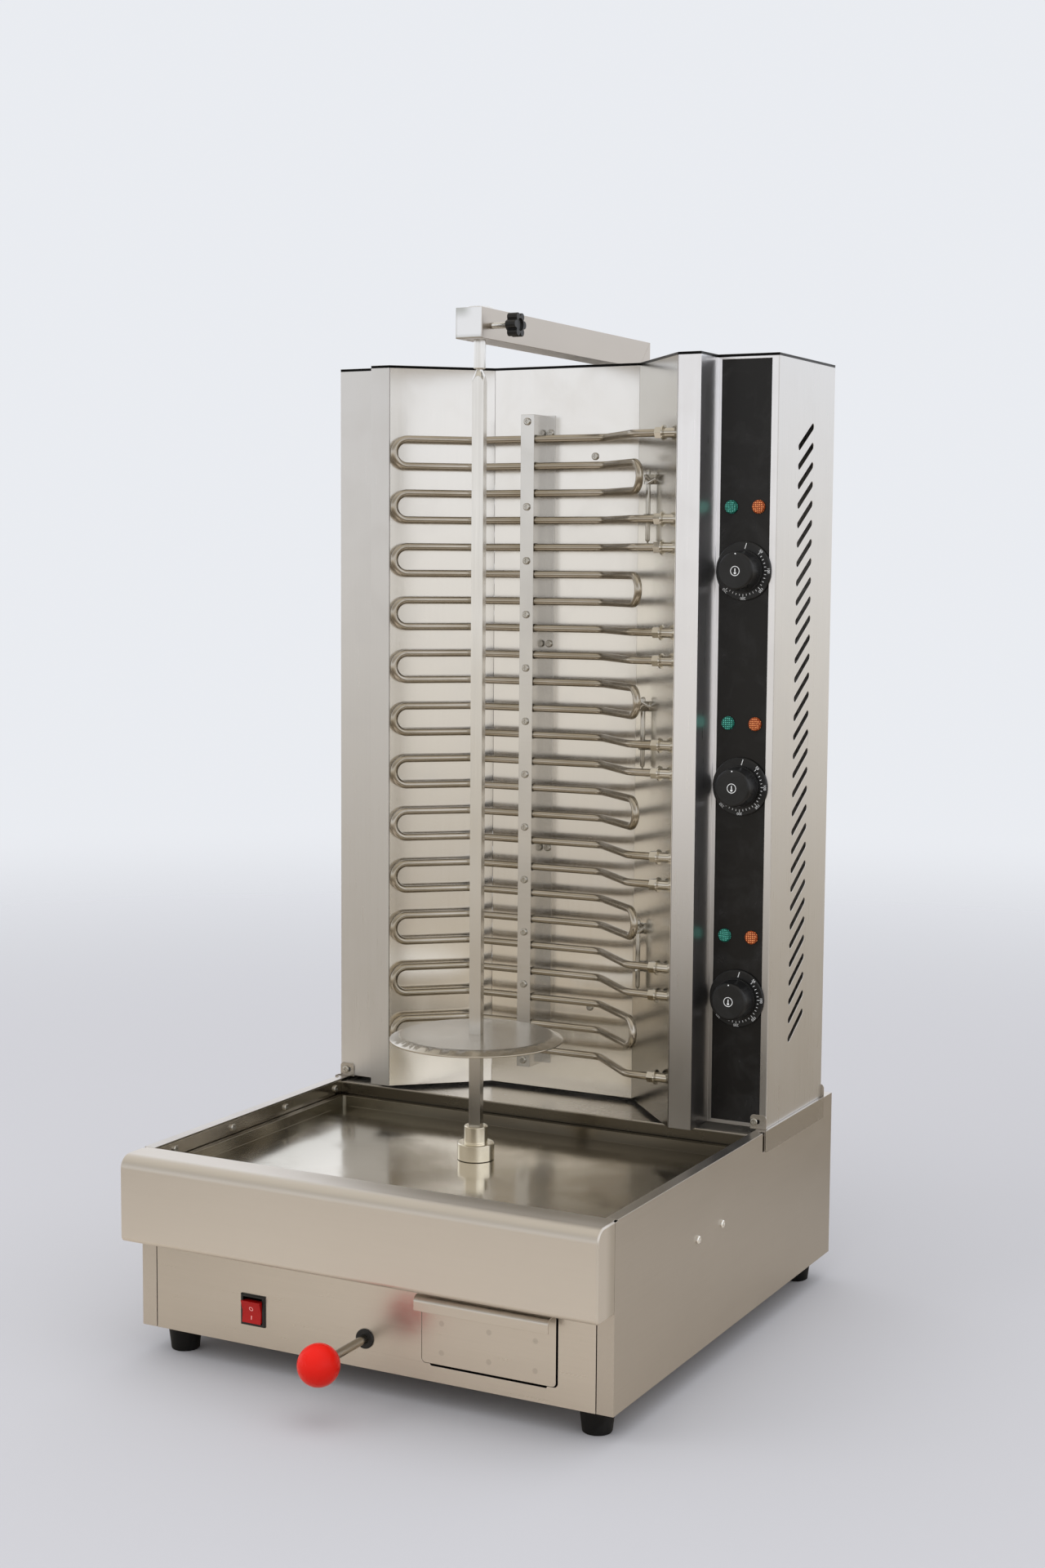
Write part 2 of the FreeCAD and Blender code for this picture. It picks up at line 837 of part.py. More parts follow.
def make_foot_brackets():
    brackets = []
    web_top = column_base
    tab_top = column_base + tab_height
    rear = column_rear + sheet
    for side in (-1, 1):
        outer = side * (half_width + sheet)
        skirt = box(side * half_width, outer, bracket_start, rear, base_height - bracket_skirt, web_top)
        corner = [e for e in skirt.Edges if e.BoundBox.YMax < bracket_start + touch
                  and e.BoundBox.ZMax < base_height - bracket_skirt + touch]
        skirt = skirt.makeFillet(tab_corner, corner)
        web_inner = side * (half_width + sheet - bracket_web)
        web = box(web_inner, outer, box_front - sheet, rear, base_height, web_top)
        front_tab = box(side * tab_inner, side * tab_outer, box_front - sheet, box_front,
                        base_height, tab_top)
        rear_tab = box(side * tab_inner, outer, column_rear, rear, base_height, tab_top)
        screw_x = side * tab_screws[side]
        hole = slot(tab_slot_length, tab_slot_width, 3 * sheet, (0, 0, 0), 0)
        hole.rotate(V(0, 0, 0), Z_AXIS, 90)
        hole.translate(V(screw_x + tab_slot_shift, box_front, column_base + tab_screw_level))
        front_tab = cut(rounded_upper(front_tab), hole)
        brackets.append(fuse(skirt, web, front_tab, rounded_upper(rear_tab)))
    return Part.makeCompound(brackets)


def left_shell_path():
    return [(-column_half, column_rear), (-column_half, box_front), (left_box_right, box_front),
            (left_box_right, left_fin_front), (left_fin_right, left_fin_front)]


def right_shell_path():
    return [(right_fin_left, right_fin_front), (right_box_left, right_fin_front),
            (right_box_left, box_front), (column_half, box_front), (column_half, column_rear)]


def make_left_shell():
    return drilled(folded_sheet(left_shell_path(), sheet, column_base, shell_top))


def make_right_shell():
    shell = folded_sheet(right_shell_path(), sheet, column_base, shell_top)
    opening = box(fascia_left, fascia_right, box_front - over, box_front + 2 * sheet,
                  column_base + fascia_end_strip, shell_top - fascia_end_strip)
    vents = []
    for i in range(vent_count):
        centre = (column_half, vent_y, column_top - vent_below_top - i * vent_pitch)
        vents.append(slot(vent_length, vent_width, 3 * sheet, centre, vent_slope))
    return drilled(cut(shell, opening, *vents))


def make_rear_cover():
    half = column_half - sheet - slack
    face = box(-half, half, column_rear - sheet, column_rear, column_base, shell_top)
    slots = []
    for i in range(rear_slot_rows):
        for side in (-1, 1):
            for drop in rear_slots_below_top:
                x = side * rear_slot_spread
                z = column_top - drop + i * rear_slot_pitch
                slots.append(box(x - rear_slot_length / 2, x + rear_slot_length / 2,
                                 column_rear - 2 * sheet, column_rear + over, z, z + rear_slot_width))
    return cut(face, *slots)


def make_top_cover():
    outline = left_shell_path() + [(reflector_left, reflector_y), (reflector_right, reflector_y)]
    outline += right_shell_path()
    return prism_up(outline, shell_top, column_top)


def left_wing_path():
    return [(left_fin_right, left_fin_front + sheet + slack), (reflector_left - slack, reflector_y)]


def right_wing_path():
    reach = sheet + slack
    return [(reflector_right + slack, reflector_y), (right_fin_left - reach, right_fin_front + reach)]


def wing_point(along, out):
    """Point in plan on the right wing: this far along it from the back, this far in front of it."""
    (x0, y0), (x1, y1) = right_wing_path()
    length = math.hypot(x1 - x0, y1 - y0)
    tx, ty = (x1 - x0) / length, (y1 - y0) / length
    return x0 + tx * along + ty * out, y0 + ty * along - tx * out


def make_left_wing():
    return drilled(folded_sheet(left_wing_path(), reflector_sheet, column_base, shell_top))


def make_right_wing():
    wing = folded_sheet(right_wing_path(), reflector_sheet, column_base, shell_top)
    holes = []
    for z in terminal_heights():
        holes.append(rod(gland_thread_radius + slack, (gland_reach, tube_end_y, z),
                         (tube_end_x, tube_end_y, z)))
    for i, drop in enumerate(feelers_below_top):
        low = column_top - drop - feeler_length - capillary_drop
        inside = wing_point(feeler_along[i], -feeler_standoff)
        outside = wing_point(feeler_along[i], feeler_standoff)
        holes.append(rod(capillary_radius + slack, (*inside, low), (*outside, low)))
    return cut(wing, *holes)


def make_back_reflector():
    path = [(reflector_left, reflector_y), (reflector_right, reflector_y)]
    return drilled(folded_sheet(path, reflector_sheet, column_base, shell_top))


def terminal_heights():
    heights = []
    for i in range(element_count):
        heights.append(row_heights[i * rows_per_element])
        heights.append(row_heights[(i + 1) * rows_per_element - 1])
    return heights


def make_element(number):
    """One tube: terminal, row, left turn, row, right turn, row, left turn, row, terminal."""
    rows = row_heights[number * rows_per_element:(number + 1) * rows_per_element]
    wing = math.radians(tube_wing_angle)
    left = (tube_left_kink - tube_left_run * math.cos(wing), tube_y - tube_left_run * math.sin(wing))
    right = (tube_right_kink + tube_right_run * math.cos(wing), tube_y - tube_right_run * math.sin(wing))
    ease = (tube_right_kink + (tube_y - tube_end_y) / math.tan(math.radians(tube_end_angle)), tube_end_y)
    kink_left = (tube_left_kink, tube_y)
    kink_right = (tube_right_kink, tube_y)
    end = (tube_end_x, tube_end_y)
    turn = row_pitch / 2
    route = [(end, 0, 0), (ease, 0, bend_radius), (kink_right, 0, bend_radius), (kink_left, 0, bend_radius),
             (left, 0, turn), (left, 1, turn), (kink_left, 1, bend_radius), (kink_right, 1, bend_radius),
             (right, 1, turn), (right, 2, turn), (kink_right, 2, bend_radius), (kink_left, 2, bend_radius),
             (left, 2, turn), (left, 3, turn), (kink_left, 3, bend_radius), (kink_right, 3, bend_radius),
             (ease, 3, bend_radius), (end, 3, 0)]
    points = [V(place[0], place[1], rows[row]) for place, row, radius in route]
    radii = [radius for place, row, radius in route]
    return tube_along(rounded_wire(points, radii), points[0], points[1] - points[0], tube_radius)


def make_element_glands():
    solids = []
    for z in terminal_heights():
        start = (gland_reach, tube_end_y, z)
        nut = hexagon(gland_hex, start, gland_length)
        washer_start = gland_reach + gland_length
        washer = rod(gland_washer_radius, (washer_start, tube_end_y, z),
                     (washer_start + gland_washer, tube_end_y, z))
        thread = rod(gland_thread_radius, (washer_start, tube_end_y, z),
                     (tube_end_x - gland_thread_end, tube_end_y, z))
        bore = rod(tube_radius + turning_gap, (gland_reach - over, tube_end_y, z),
                   (tube_end_x, tube_end_y, z))
        solids.append(cut(fuse(nut, washer, thread), bore))
        solids.append(rod(terminal_radius, (tube_end_x, tube_end_y, z),
                          (tube_end_x + terminal_length, tube_end_y, z)))
    return Part.makeCompound(solids)


def make_clamp_bracket():
    """Z-shaped rail behind the clamp strip, notched where each row of tube passes."""
    front = tube_y - tube_radius - slack
    rear = reflector_y - slack
    back_of_tubes = tube_y + tube_radius + slack
    leg = box(clamp_right - sheet, clamp_right, front, rear, clamp_foot, clamp_top)
    seat = box(clamp_left, clamp_right, back_of_tubes, back_of_tubes + sheet, clamp_foot, clamp_top)
    flange = box(clamp_right - sheet, clamp_right + clamp_flange, rear - sheet, rear, clamp_foot, clamp_top)
    half = tube_radius + clamp_notch_play
    notches = [box(clamp_right - 2 * sheet, clamp_right + over, front - over, back_of_tubes,
                   z - half, z + half) for z in row_heights]
    return drilled(cut(fuse(leg, seat, flange), *notches))


def make_clamp_strip():
    back = tube_y - tube_radius - slack
    return drilled(box(clamp_left, clamp_right, back - clamp_strip_thickness, back, clamp_foot, clamp_top))


def make_feelers():
    solids = []
    for i, drop in enumerate(feelers_below_top):
        along = feeler_along[i]
        top = column_top - drop
        x, y = wing_point(along, feeler_standoff)
        low = top - feeler_length
        body = rod(feeler_radius, (x, y, low), (x, y, top))
        body = body.makeFillet(feeler_radius * 0.8, [body.Edges[0], body.Edges[2]])
        bend = low - capillary_drop
        route = [V(x, y, low), V(x, y, bend), V(*wing_point(along, -feeler_standoff), bend)]
        tail_wire = rounded_wire(route, [0, capillary_bend, 0])
        tail = tube_along(tail_wire, route[0], V(0, 0, -1), capillary_radius)
        solids.append(fuse(body, tail))
        for share in clip_places:
            solids.append(make_feeler_clip(along, low + feeler_length * share))
    return Part.makeCompound(solids)


def make_feeler_clip(along, level):
    """Small saddle on the wing that holds a feeler."""
    outer = feeler_radius + slack + clip_wall
    inner = feeler_radius + slack
    foot = outer + clip_foot
    saddle = [(along - foot, slack), (along + foot, slack), (along + foot, clip_wall),
              (along + outer, clip_wall), (along + outer, feeler_standoff + outer),
              (along - outer, feeler_standoff + outer), (along - outer, clip_wall),
              (along - foot, clip_wall)]
    room = [(along - inner, clip_wall), (along + inner, clip_wall), (along + inner, feeler_standoff + inner),
            (along - inner, feeler_standoff + inner)]
    body = prism_up([wing_point(a, b) for a, b in saddle], level, level + clip_height)
    hollow = prism_up([wing_point(a, b) for a, b in room], level - over, level + clip_height + over)
    return cut(body, hollow)


def make_fascia():
    plate = box(fascia_left - fascia_overlap_left, fascia_right + fascia_overlap_right, fascia_front,
                fascia_front + fascia_thickness, column_base + slack, shell_top - slack)
    before = fascia_front - over
    behind = fascia_front + 2 * fascia_thickness
    holes = []
    for level in zone_heights:
        holes.append(rod(shaft_radius + shaft_hole_play, (fascia_middle, before, level),
                         (fascia_middle, behind, level)))
        for side in (-1, 1):
            x = fascia_middle + side * lamp_spacing / 2
            z = level + lamp_above_dial
            holes.append(rod(lamp_stem_radius + slack, (x, before, z), (x, behind, z)))
    return drilled(cut(plate, *holes))


def make_lamps(side):
    lamps = []
    for level in zone_heights:
        x = fascia_middle + side * lamp_spacing / 2
        z = level + lamp_above_dial
        lens = rod(lamp_radius, (x, fascia_front, z), (x, fascia_front - lamp_reach, z))
        crown = [e for e in lens.Edges if e.BoundBox.YMax < fascia_front - lamp_reach + touch]
        lens = lens.makeFillet(lamp_crown, crown)
        stem = rod(lamp_stem_radius, (x, fascia_front, z), (x, fascia_front + lamp_stem_length, z))
        lamps.append(fuse(lens, stem))
    return Part.makeCompound(lamps)


def make_dial_rings():
    rings = []
    back = box_front - slack
    for level in zone_heights:
        face = rod(dial_radius, (fascia_middle, back, level), (fascia_middle, back - dial_thickness, level))
        rim = [e for e in face.Edges if e.BoundBox.YMax < back - dial_thickness + touch]
        face = face.makeChamfer(dial_edge, rim)
        hub = rod(dial_hub_radius, (fascia_middle, back, level), (fascia_middle, fascia_front, level))
        bore = rod(shaft_radius + dial_bore_play, (fascia_middle, back - 2 * dial_thickness, level),
                   (fascia_middle, fascia_front + over, level))
        rings.append(cut(fuse(face, hub), bore))
    return Part.makeCompound(rings)


def make_thermostats():
    solids = []
    start = fascia_front + fascia_thickness + slack
    for level in zone_heights:
        body = box(fascia_middle - thermostat_width / 2, fascia_middle + thermostat_width / 2,
                   start, start + thermostat_depth,
                   level - thermostat_height / 2, level + thermostat_height / 2)
        neck_end = start + thermostat_depth + thermostat_neck
        neck = rod(thermostat_neck_radius, (fascia_middle, start + thermostat_depth, level),
                   (fascia_middle, neck_end, level))
        bore = rod(shaft_radius + turning_gap, (fascia_middle, start - over, level),
                   (fascia_middle, start + thermostat_depth / 2, level))
        solids.append(cut(fuse(body, neck), bore))
    return Part.makeCompound(solids)


def make_temperature_knob(number):
    level = zone_heights[number]
    back = box_front - slack - dial_thickness - seam
    front = back - knob_length
    skirt = rod(knob_radius, (fascia_middle, back, level), (fascia_middle, back - knob_skirt, level))
    grip = cone(knob_radius - knob_skirt_step, knob_face_radius, (fascia_middle, back - knob_skirt, level),
                (fascia_middle, front, level))
    crown = [e for e in grip.Edges if e.BoundBox.YMax < front + touch]
    grip = grip.makeFillet(knob_edge, crown)
    body = fuse(skirt, grip)
    bore_end = front + knob_web
    bore = rod(shaft_radius + slack, (fascia_middle, back + over, level), (fascia_middle, bore_end, level))
    shaft_end = fascia_front + fascia_thickness + thermostat_depth / 2 - over
    shaft = rod(shaft_radius, (fascia_middle, bore_end + slack, level), (fascia_middle, shaft_end, level))
    return Part.makeCompound([cut(body, bore), shaft])


def square_bar(side, z0, z1):
    bar = box(-side / 2, side / 2, -side / 2, side / 2, z0, z1)
    bar.rotate(V(0, 0, 0), Z_AXIS, rod_turn)
    bar.translate(V(0, spit_y, 0))
    return bar


def make_spit_rod():
    """Square bar with a turned upper end: a cone and a round tip that the pin holds."""
    bar = square_bar(rod_side, rod_bottom + slack, rod_top)
    corner = rod_side / math.sqrt(2)
    shoulder = (0, spit_y, rod_shoulder)
    outside = cone(corner + slack, rod_tip_radius, shoulder, (0, spit_y, rod_top))
    blank = rod(corner * 2, shoulder, (0, spit_y, rod_top + over))
    tip = rod(rod_tip_radius, (0, spit_y, rod_shoulder), (0, spit_y, rod_top + rod_tip_length))
    crown = [e for e in tip.Edges if e.BoundBox.ZMin > rod_top + rod_tip_length - touch]
    turned_bar = cut(bar, cut(blank, outside))
    pin_hole = disc_pin_solid(disc_pin_radius + turning_gap, rod_side * 2)
    return cut(fuse(turned_bar, tip.makeChamfer(rod_tip_edge, crown)), pin_hole)


def make_spit_socket():
    body = rod(socket_radius, (0, spit_y, skirt_bottom), (0, spit_y, socket_top))
    edge = [e for e in body.Edges if e.BoundBox.ZMin > socket_top - touch]
    body = body.makeChamfer(socket_edge, edge)
    collar = rod(collar_radius, (0, spit_y, socket_top), (0, spit_y, collar_top))
    edge = [e for e in collar.Edges if e.BoundBox.ZMin > collar_top - touch]
    collar = collar.makeChamfer(collar_edge, edge)
    room = rod(socket_radius - skirt_wall, (0, spit_y, skirt_bottom - over),
               (0, spit_y, skirt_bottom + skirt_depth))
    shaft = rod(drive_radius + slack / 2, (0, spit_y, skirt_bottom), (0, spit_y, rod_bottom))
    square = square_bar(rod_side + 2 * collar_play, rod_bottom - over, collar_top + over)
    return cut(fuse(body, collar), room, shaft, square)


def make_drive_shaft():
    return rod(drive_radius, (0, spit_y, floor_top + drive_seat + seam), (0, spit_y, rod_bottom - slack))


def disc_pin_height():
    return disc_rim_height + disc_drop - disc_sheet - slack - disc_pin_radius


def disc_pin_solid(radius, length):
    z = disc_pin_height()
    angle = math.radians(rod_turn)
    dx, dy = math.cos(angle) * length / 2, math.sin(angle) * length / 2
    return rod(radius, (-dx, spit_y - dy, z), (dx, spit_y + dy, z))


def make_disc():
    top = disc_rim_height + disc_drop
    rim = disc_rim_height
    profile = [(0, top), (disc_flat_radius, top), (disc_radius, rim), (disc_radius, rim - disc_sheet),
               (disc_flat_radius, top - disc_sheet), (0, top - disc_sheet)]
    loop = [V(r, 0, z) for r, z in profile]
    face = Part.Face(Part.makePolygon(loop + [loop[0]]))
    plate = face.revolve(V(0, 0, 0), Z_AXIS, 360)
    plate.translate(V(0, spit_y, 0))
    return cut(plate, square_bar(rod_side + 2 * disc_play, rim - disc_drop, top + disc_drop))


def make_gear_motor():
    half = gearbox_width / 2
    front = spit_y - gearbox_depth / 2
    case = box(-half, half, front, spit_y + gearbox_depth / 2, floor_top, gearbox_top)
    case = case.makeFillet(gearbox_corner, upright_edges(case))
    axis_z = floor_top + motor_radius + motor_lift
    rear = spit_y + gearbox_depth / 2
    motor = rod(motor_radius, (0, rear - over, axis_z), (0, rear + motor_length, axis_z))
    boss = rod(boss_radius, (0, front - boss_length, pull_rod_height), (0, front + over, pull_rod_height))
    shaft_bore = rod(drive_radius + turning_gap, (0, spit_y, floor_top + drive_seat),
                     (0, spit_y, gearbox_top + over))
    rod_bore = rod(pull_rod_radius + turning_gap, (0, front - boss_length - over, pull_rod_height),
                   (0, front + pull_rod_grip - boss_length + rod_bore_extra, pull_rod_height))
    return cut(fuse(case, motor, boss), shaft_bore, rod_bore)


def make_bearing_housing():
    top = pan_floor + pan_collar_height - bearing_below_collar
    tube = rod(bearing_radius, (0, spit_y, gearbox_top), (0, spit_y, top))
    flange = rod(bearing_flange_radius, (0, spit_y, gearbox_top), (0, spit_y, gearbox_top + bearing_flange))
    bore = rod(drive_radius + turning_gap, (0, spit_y, gearbox_top - over), (0, spit_y, top + over))
    return cut(fuse(tube, flange), bore)


def mitre(side):
    """Half of a block split at 45 degrees: what the arm (1) or the post (-1) loses at their corner."""
    reach = 2 * arm_side
    low = (post_front - reach, arm_bottom - reach)
    high = (post_rear + reach, arm_top + reach)
    corner = (high[0], low[1]) if side > 0 else (low[0], high[1])
    return prism_across([low, high, corner], -arm_side, arm_side)


def make_top_arm():
    """Channel that runs back over the column, open below, mitred at its rear end."""
    half = arm_side / 2
    inner = half - arm_wall
    outside = box(-half, half, arm_front, post_rear, arm_bottom, arm_top)
    nose = [e for e in outside.Edges if e.BoundBox.YMax < arm_front + slack
            and e.BoundBox.ZMin < arm_top - slack]
    room = box(-inner, inner, arm_front + arm_wall, post_rear + over, arm_bottom - arm_open_edge,
               arm_top - arm_wall)
    channel = cut(outside.makeFillet(arm_wall, nose), room)
    block = box(-inner, inner, spit_y - arm_block / 2, spit_y + arm_block / 2,
                arm_bottom + arm_block_lift, arm_top - arm_wall)
    pin_bore = rod(pin_radius + turning_gap, (0, spit_y, arm_bottom - over), (0, spit_y, arm_top + over))
    stud_bore = rod(stud_radius + turning_gap, (0, spit_y, star_height()),
                    (half + over, spit_y, star_height()))
    return cut(fuse(channel, block), pin_bore, stud_bore, mitre(1))


def make_arm_post():
    """Channel behind the column, open to the front, that carries the arm."""
    half = arm_side / 2
    inner = half - arm_wall
    outside = box(-half, half, post_front, post_rear, post_foot, arm_top)
    room = box(-inner, inner, post_front - arm_open_edge, post_rear - arm_wall, post_foot + arm_wall,
               arm_top + over)
    bolts = [rod(bolt_radius + slack, (0, post_rear - 2 * arm_wall, z), (0, post_rear + over, z))
             for z in post_bolt_heights]
    return cut(outside, room, mitre(-1), *bolts)


def star_height():
    return arm_bottom + arm_side / 2 - star_drop


def hex_head(width, height, start, direction):
    corner = width / math.sqrt(3)
    loop = []
    for i in range(6):
        angle = math.radians(60 * i)
        loop.append((corner * math.cos(angle), corner * math.sin(angle)))
    return turned(prism_up(loop, 0, height), start, direction)


def make_arm_bolts():
    bolts = []
    inside = base_depth - sheet
    for z in post_bolt_heights:
        shank = rod(bolt_radius, (0, post_rear, z), (0, inside - bolt_end, z))
        head = hex_head(bolt_head_width, bolt_head, (0, post_rear, z), (0, 1, 0))
        nut = hex_head(bolt_head_width, bolt_nut, (0, inside, z), (0, -1, 0))
        bolts.append(fuse(shank, head, nut))
    return bolts


def make_post_strap():
    """Bracket between the back of the column and the post."""
    half = arm_side / 2 + slack
    outer = half + strap_thickness
    top = strap_level + strap_height
    plate = box(-outer - strap_flange, outer + strap_flange, column_rear, column_rear + strap_thickness,
                strap_level, top)
    cheeks = [box(side * half, side * outer, column_rear, post_front + strap_grip, strap_level, top)
              for side in (-1, 1)]
    return fuse(plate, *cheeks)


def make_top_pin():
    head_bottom = arm_top + slack
    shank_bottom = rod_top + pin_lift
    shank = rod(pin_radius, (0, spit_y, shank_bottom), (0, spit_y, head_bottom))
    head = rod(pin_head_radius, (0, spit_y, head_bottom), (0, spit_y, head_bottom + pin_head))
    low = [e for e in shank.Edges if e.BoundBox.ZMax < shank_bottom + touch]
    shank = shank.makeChamfer(pin_edge, low)
    socket = rod(rod_tip_radius + turning_gap, (0, spit_y, shank_bottom - over),
                 (0, spit_y, shank_bottom + pin_socket_depth))
    return cut(fuse(shank, head), socket)


def make_star_knob():
    z = star_height()
    x0 = star_centre - star_thickness / 2
    x1 = star_centre + star_thickness / 2
    lobes = []
    for i in range(star_lobes):
        angle = 2 * math.pi * i / star_lobes
        y = spit_y + star_radius * math.cos(angle)
        level = z + star_radius * math.sin(angle)
        lobes.append(rod(star_lobe_radius, (x0, y, level), (x1, y, level)))
    core = rod(star_radius, (x0, spit_y, z), (x1, spit_y, z))
    hub = rod(stud_radius + star_hub_wall, (x0 - star_hub_wall, spit_y, z), (x0, spit_y, z))
    dish = rod(star_radius - star_dish_wall, (x1 - star_dish_depth, spit_y, z), (x1 + over, spit_y, z))
    stud = rod(stud_radius, (pin_radius + 2 * slack, spit_y, z), (x0 + over, spit_y, z))
    return fuse(cut(fuse(core, hub, *lobes), dish), stud)


def make_pull_rod():
    back = spit_y - gearbox_depth / 2 - boss_length + pull_rod_grip
    front = -ball_reach + ball_radius - ball_bore_depth + slack
    return rod(pull_rod_radius, (0, front, pull_rod_height), (0, back, pull_rod_height))


def make_ball():
    ball = Part.makeSphere(ball_radius, V(0, -ball_reach, pull_rod_height))
    bore_end = -ball_reach + ball_radius - ball_bore_depth
    bore = rod(pull_rod_radius + turning_gap, (0, bore_end, pull_rod_height),
               (0, -ball_reach + ball_radius + over, pull_rod_height))
    return cut(ball, bore)


def make_rod_bush():
    z = pull_rod_height
    flange = rod(bush_flange_radius, (0, -bush_flange, z), (0, 0, z))
    front = [e for e in flange.Edges if e.BoundBox.YMax < -bush_flange + touch]
    flange = flange.makeFillet(bush_edge, front)
    body = rod(bush_body_radius, (0, 0, z), (0, bush_length, z))
    nut = rod(bush_flange_radius, (0, sheet, z), (0, sheet + bush_nut, z))
    bore = rod(pull_rod_radius + turning_gap, (0, -2 * bush_flange, z), (0, bush_length + over, z))
    return cut(fuse(flange, body, nut), bore)


def make_switch_frame():
    half_x = switch_width / 2
    half_z = switch_tall / 2
    z = switch_height
    flange = box(switch_x - half_x, switch_x + half_x, -switch_flange, 0, z - half_z, z + half_z)
    front = [e for e in flange.Edges if e.BoundBox.YMax < -switch_flange + touch]
    flange = flange.makeChamfer(switch_edge, front)
    body_x = half_x - switch_body_inset
    body_z = half_z - switch_body_inset
    body = box(switch_x - body_x, switch_x + body_x, 0, switch_depth, z - body_z, z + body_z)
    room_x = rocker_width / 2 + seam
    room_z = half_z - switch_wall
    room = box(switch_x - room_x, switch_x + room_x, -2 * switch_flange, switch_depth - switch_back,
               z - room_z, z + room_z)
    axle = rod(rocker_pin_radius + turning_gap, (switch_x - half_x - over, rocker_pivot, z),
               (switch_x + half_x + over, rocker_pivot, z))
    prongs = []
    for step in (-1, 0, 1):
        middle = z + step * prong_spacing
        prongs.append(box(switch_x - prong_width / 2, switch_x + prong_width / 2, switch_depth,
                          switch_depth + prong_length, middle - prong_thickness / 2,
                          middle + prong_thickness / 2))
    return fuse(cut(fuse(flange, body), room, axle), *prongs)


def make_rocker():
    back_half = rocker_half * rocker_back_share
    outline = [(-rocker_front, rocker_half), (-rocker_waist, 0), (-rocker_front, -rocker_half),
               (rocker_back, -back_half), (rocker_back, back_half)]
    half = rocker_width / 2
    body = prism_across(outline, -half, half)
    axle = rod(rocker_pin_radius, (-half - rocker_pin_reach, 0, 0), (half + rocker_pin_reach, 0, 0))
    whole = fuse(body, axle)
    whole.rotate(V(0, 0, 0), X_AXIS, rocker_rest)
    whole.translate(V(switch_x, rocker_pivot, switch_height))
    return whole


def make_drawer_front():
    """Face of the drawer with its upper edge curled forward into a grip."""
    face = box(drawer_left, drawer_right, 0, sheet, drawer_bottom, drawer_top)
    corners = [e for e in face.Edges if e.BoundBox.ZMax < drawer_bottom + slack
               and e.BoundBox.YLength > sheet / 2]
    face = face.makeFillet(drawer_corner, corners)
    outer = grip_radius
    inner = grip_radius - sheet
    top = drawer_top + sheet
    shelf = box(drawer_left, drawer_right, -grip_reach + outer, sheet, drawer_top, top)
    curl_axis = (-grip_reach + outer, top - outer)
    curl = cut(rod(outer, (drawer_left, *curl_axis), (drawer_right, *curl_axis)),
               rod(inner, (drawer_left - over, *curl_axis), (drawer_right + over, *curl_axis)))
    quarter = box(drawer_left - over, drawer_right + over, curl_axis[0] - outer - over, curl_axis[0],
                  curl_axis[1], curl_axis[1] + outer + over)
    apron = box(drawer_left, drawer_right, -grip_reach, -grip_reach + sheet, top - grip_drop, curl_axis[1])
    return fuse(face, shelf, curl.common(quarter), apron)


def make_drawer_tray():
    outside = box(tray_left, tray_right, sheet, sheet + tray_depth, tray_bottom, tray_bottom + tray_height)
    inside = box(tray_left + tray_sheet, tray_right - tray_sheet, sheet + tray_sheet,
                 sheet + tray_depth - tray_sheet, tray_bottom + tray_sheet,
                 tray_bottom + tray_height + over)
    return cut(outside, inside)


def make_drawer_runners():
    runners = []
    end = sheet + tray_depth + runner_extra
    low = tray_bottom - runner_gap
    for edge, way in ((tray_left, -1), (tray_right, 1)):
        near = edge + way * runner_gap
        far = near + way * sheet
        web = box(near, far, runner_start, end, floor_top, runner_height)
        shelf = box(near, edge - way * runner_lip, runner_start, end, low - sheet, low)
        foot = box(far, edge - way * runner_lip, runner_start, end, floor_top, floor_top + sheet)
        runners.append(fuse(web, shelf, foot))
    return Part.makeCompound(runners)


def make_terminal_block():
    long, deep, high = terminal_block_size
    x = gland_x - long / 2
    y = base_depth - terminal_block_inset
    block = box(x, x + long, y, y + deep, floor_top, floor_top + high)
    wells = []
    top = floor_top + high
    for i in range(terminal_ways):
        centre = x + (i + 0.5) * long / terminal_ways
        for row in terminal_well_rows:
            wells.append(rod(terminal_well_radius, (centre, y + deep * row, top - terminal_well_depth),
                             (centre, y + deep * row, top + over)))
    return cut(block, *wells)


def make_cable_gland():
    wall = base_depth
    inner = wall - sheet
    thread = inlet_radius - inlet_wall
    dome = cone(inlet_radius, thread, (gland_x, wall, gland_z),
                (gland_x, wall + inlet_reach, gland_z))
    nut = rod(inlet_radius, (gland_x, inner, gland_z), (gland_x, inner - inlet_nut, gland_z))
    body = rod(thread - slack, (gland_x, inner - inlet_inside, gland_z), (gland_x, wall, gland_z))
    bore = rod(inlet_bore, (gland_x, inner - inlet_inside - over, gland_z),
               (gland_x, wall + inlet_reach + over, gland_z))
    return cut(fuse(dome, nut, body), bore)


pieces["base_floor"] = make_floor()
pieces["base_side_left"] = make_base_side(-1)
pieces["base_side_right"] = make_base_side(1)
pieces["front_panel"] = make_front_panel()
pieces["front_lip"] = make_front_lip()
pieces["base_rear_panel"] = make_rear_panel()
pieces["well_frame"] = make_well_frame()
pieces["rear_deck"] = make_rear_deck()
pieces["drip_pan"] = make_drip_pan()
pieces["pan_fittings"] = make_pan_fittings()
pieces["rubber_feet"] = make_feet()
pieces["foot_brackets"] = make_foot_brackets()
pieces["screws_and_bolts"] = Part.makeCompound(make_screws() + make_arm_bolts())
pieces["column_left_shell"] = make_left_shell()
pieces["column_right_shell"] = make_right_shell()
pieces["column_rear_cover"] = make_rear_cover()
pieces["column_top_cover"] = make_top_cover()
pieces["reflector_back"] = make_back_reflector()
pieces["reflector_left_wing"] = make_left_wing()
pieces["reflector_right_wing"] = make_right_wing()
pieces["control_fascia"] = make_fascia()
for i in range(element_count):
    pieces["heating_element_%d" % (i + 1)] = make_element(i)
pieces["element_glands"] = make_element_glands()
pieces["clamp_bracket"] = make_clamp_bracket()
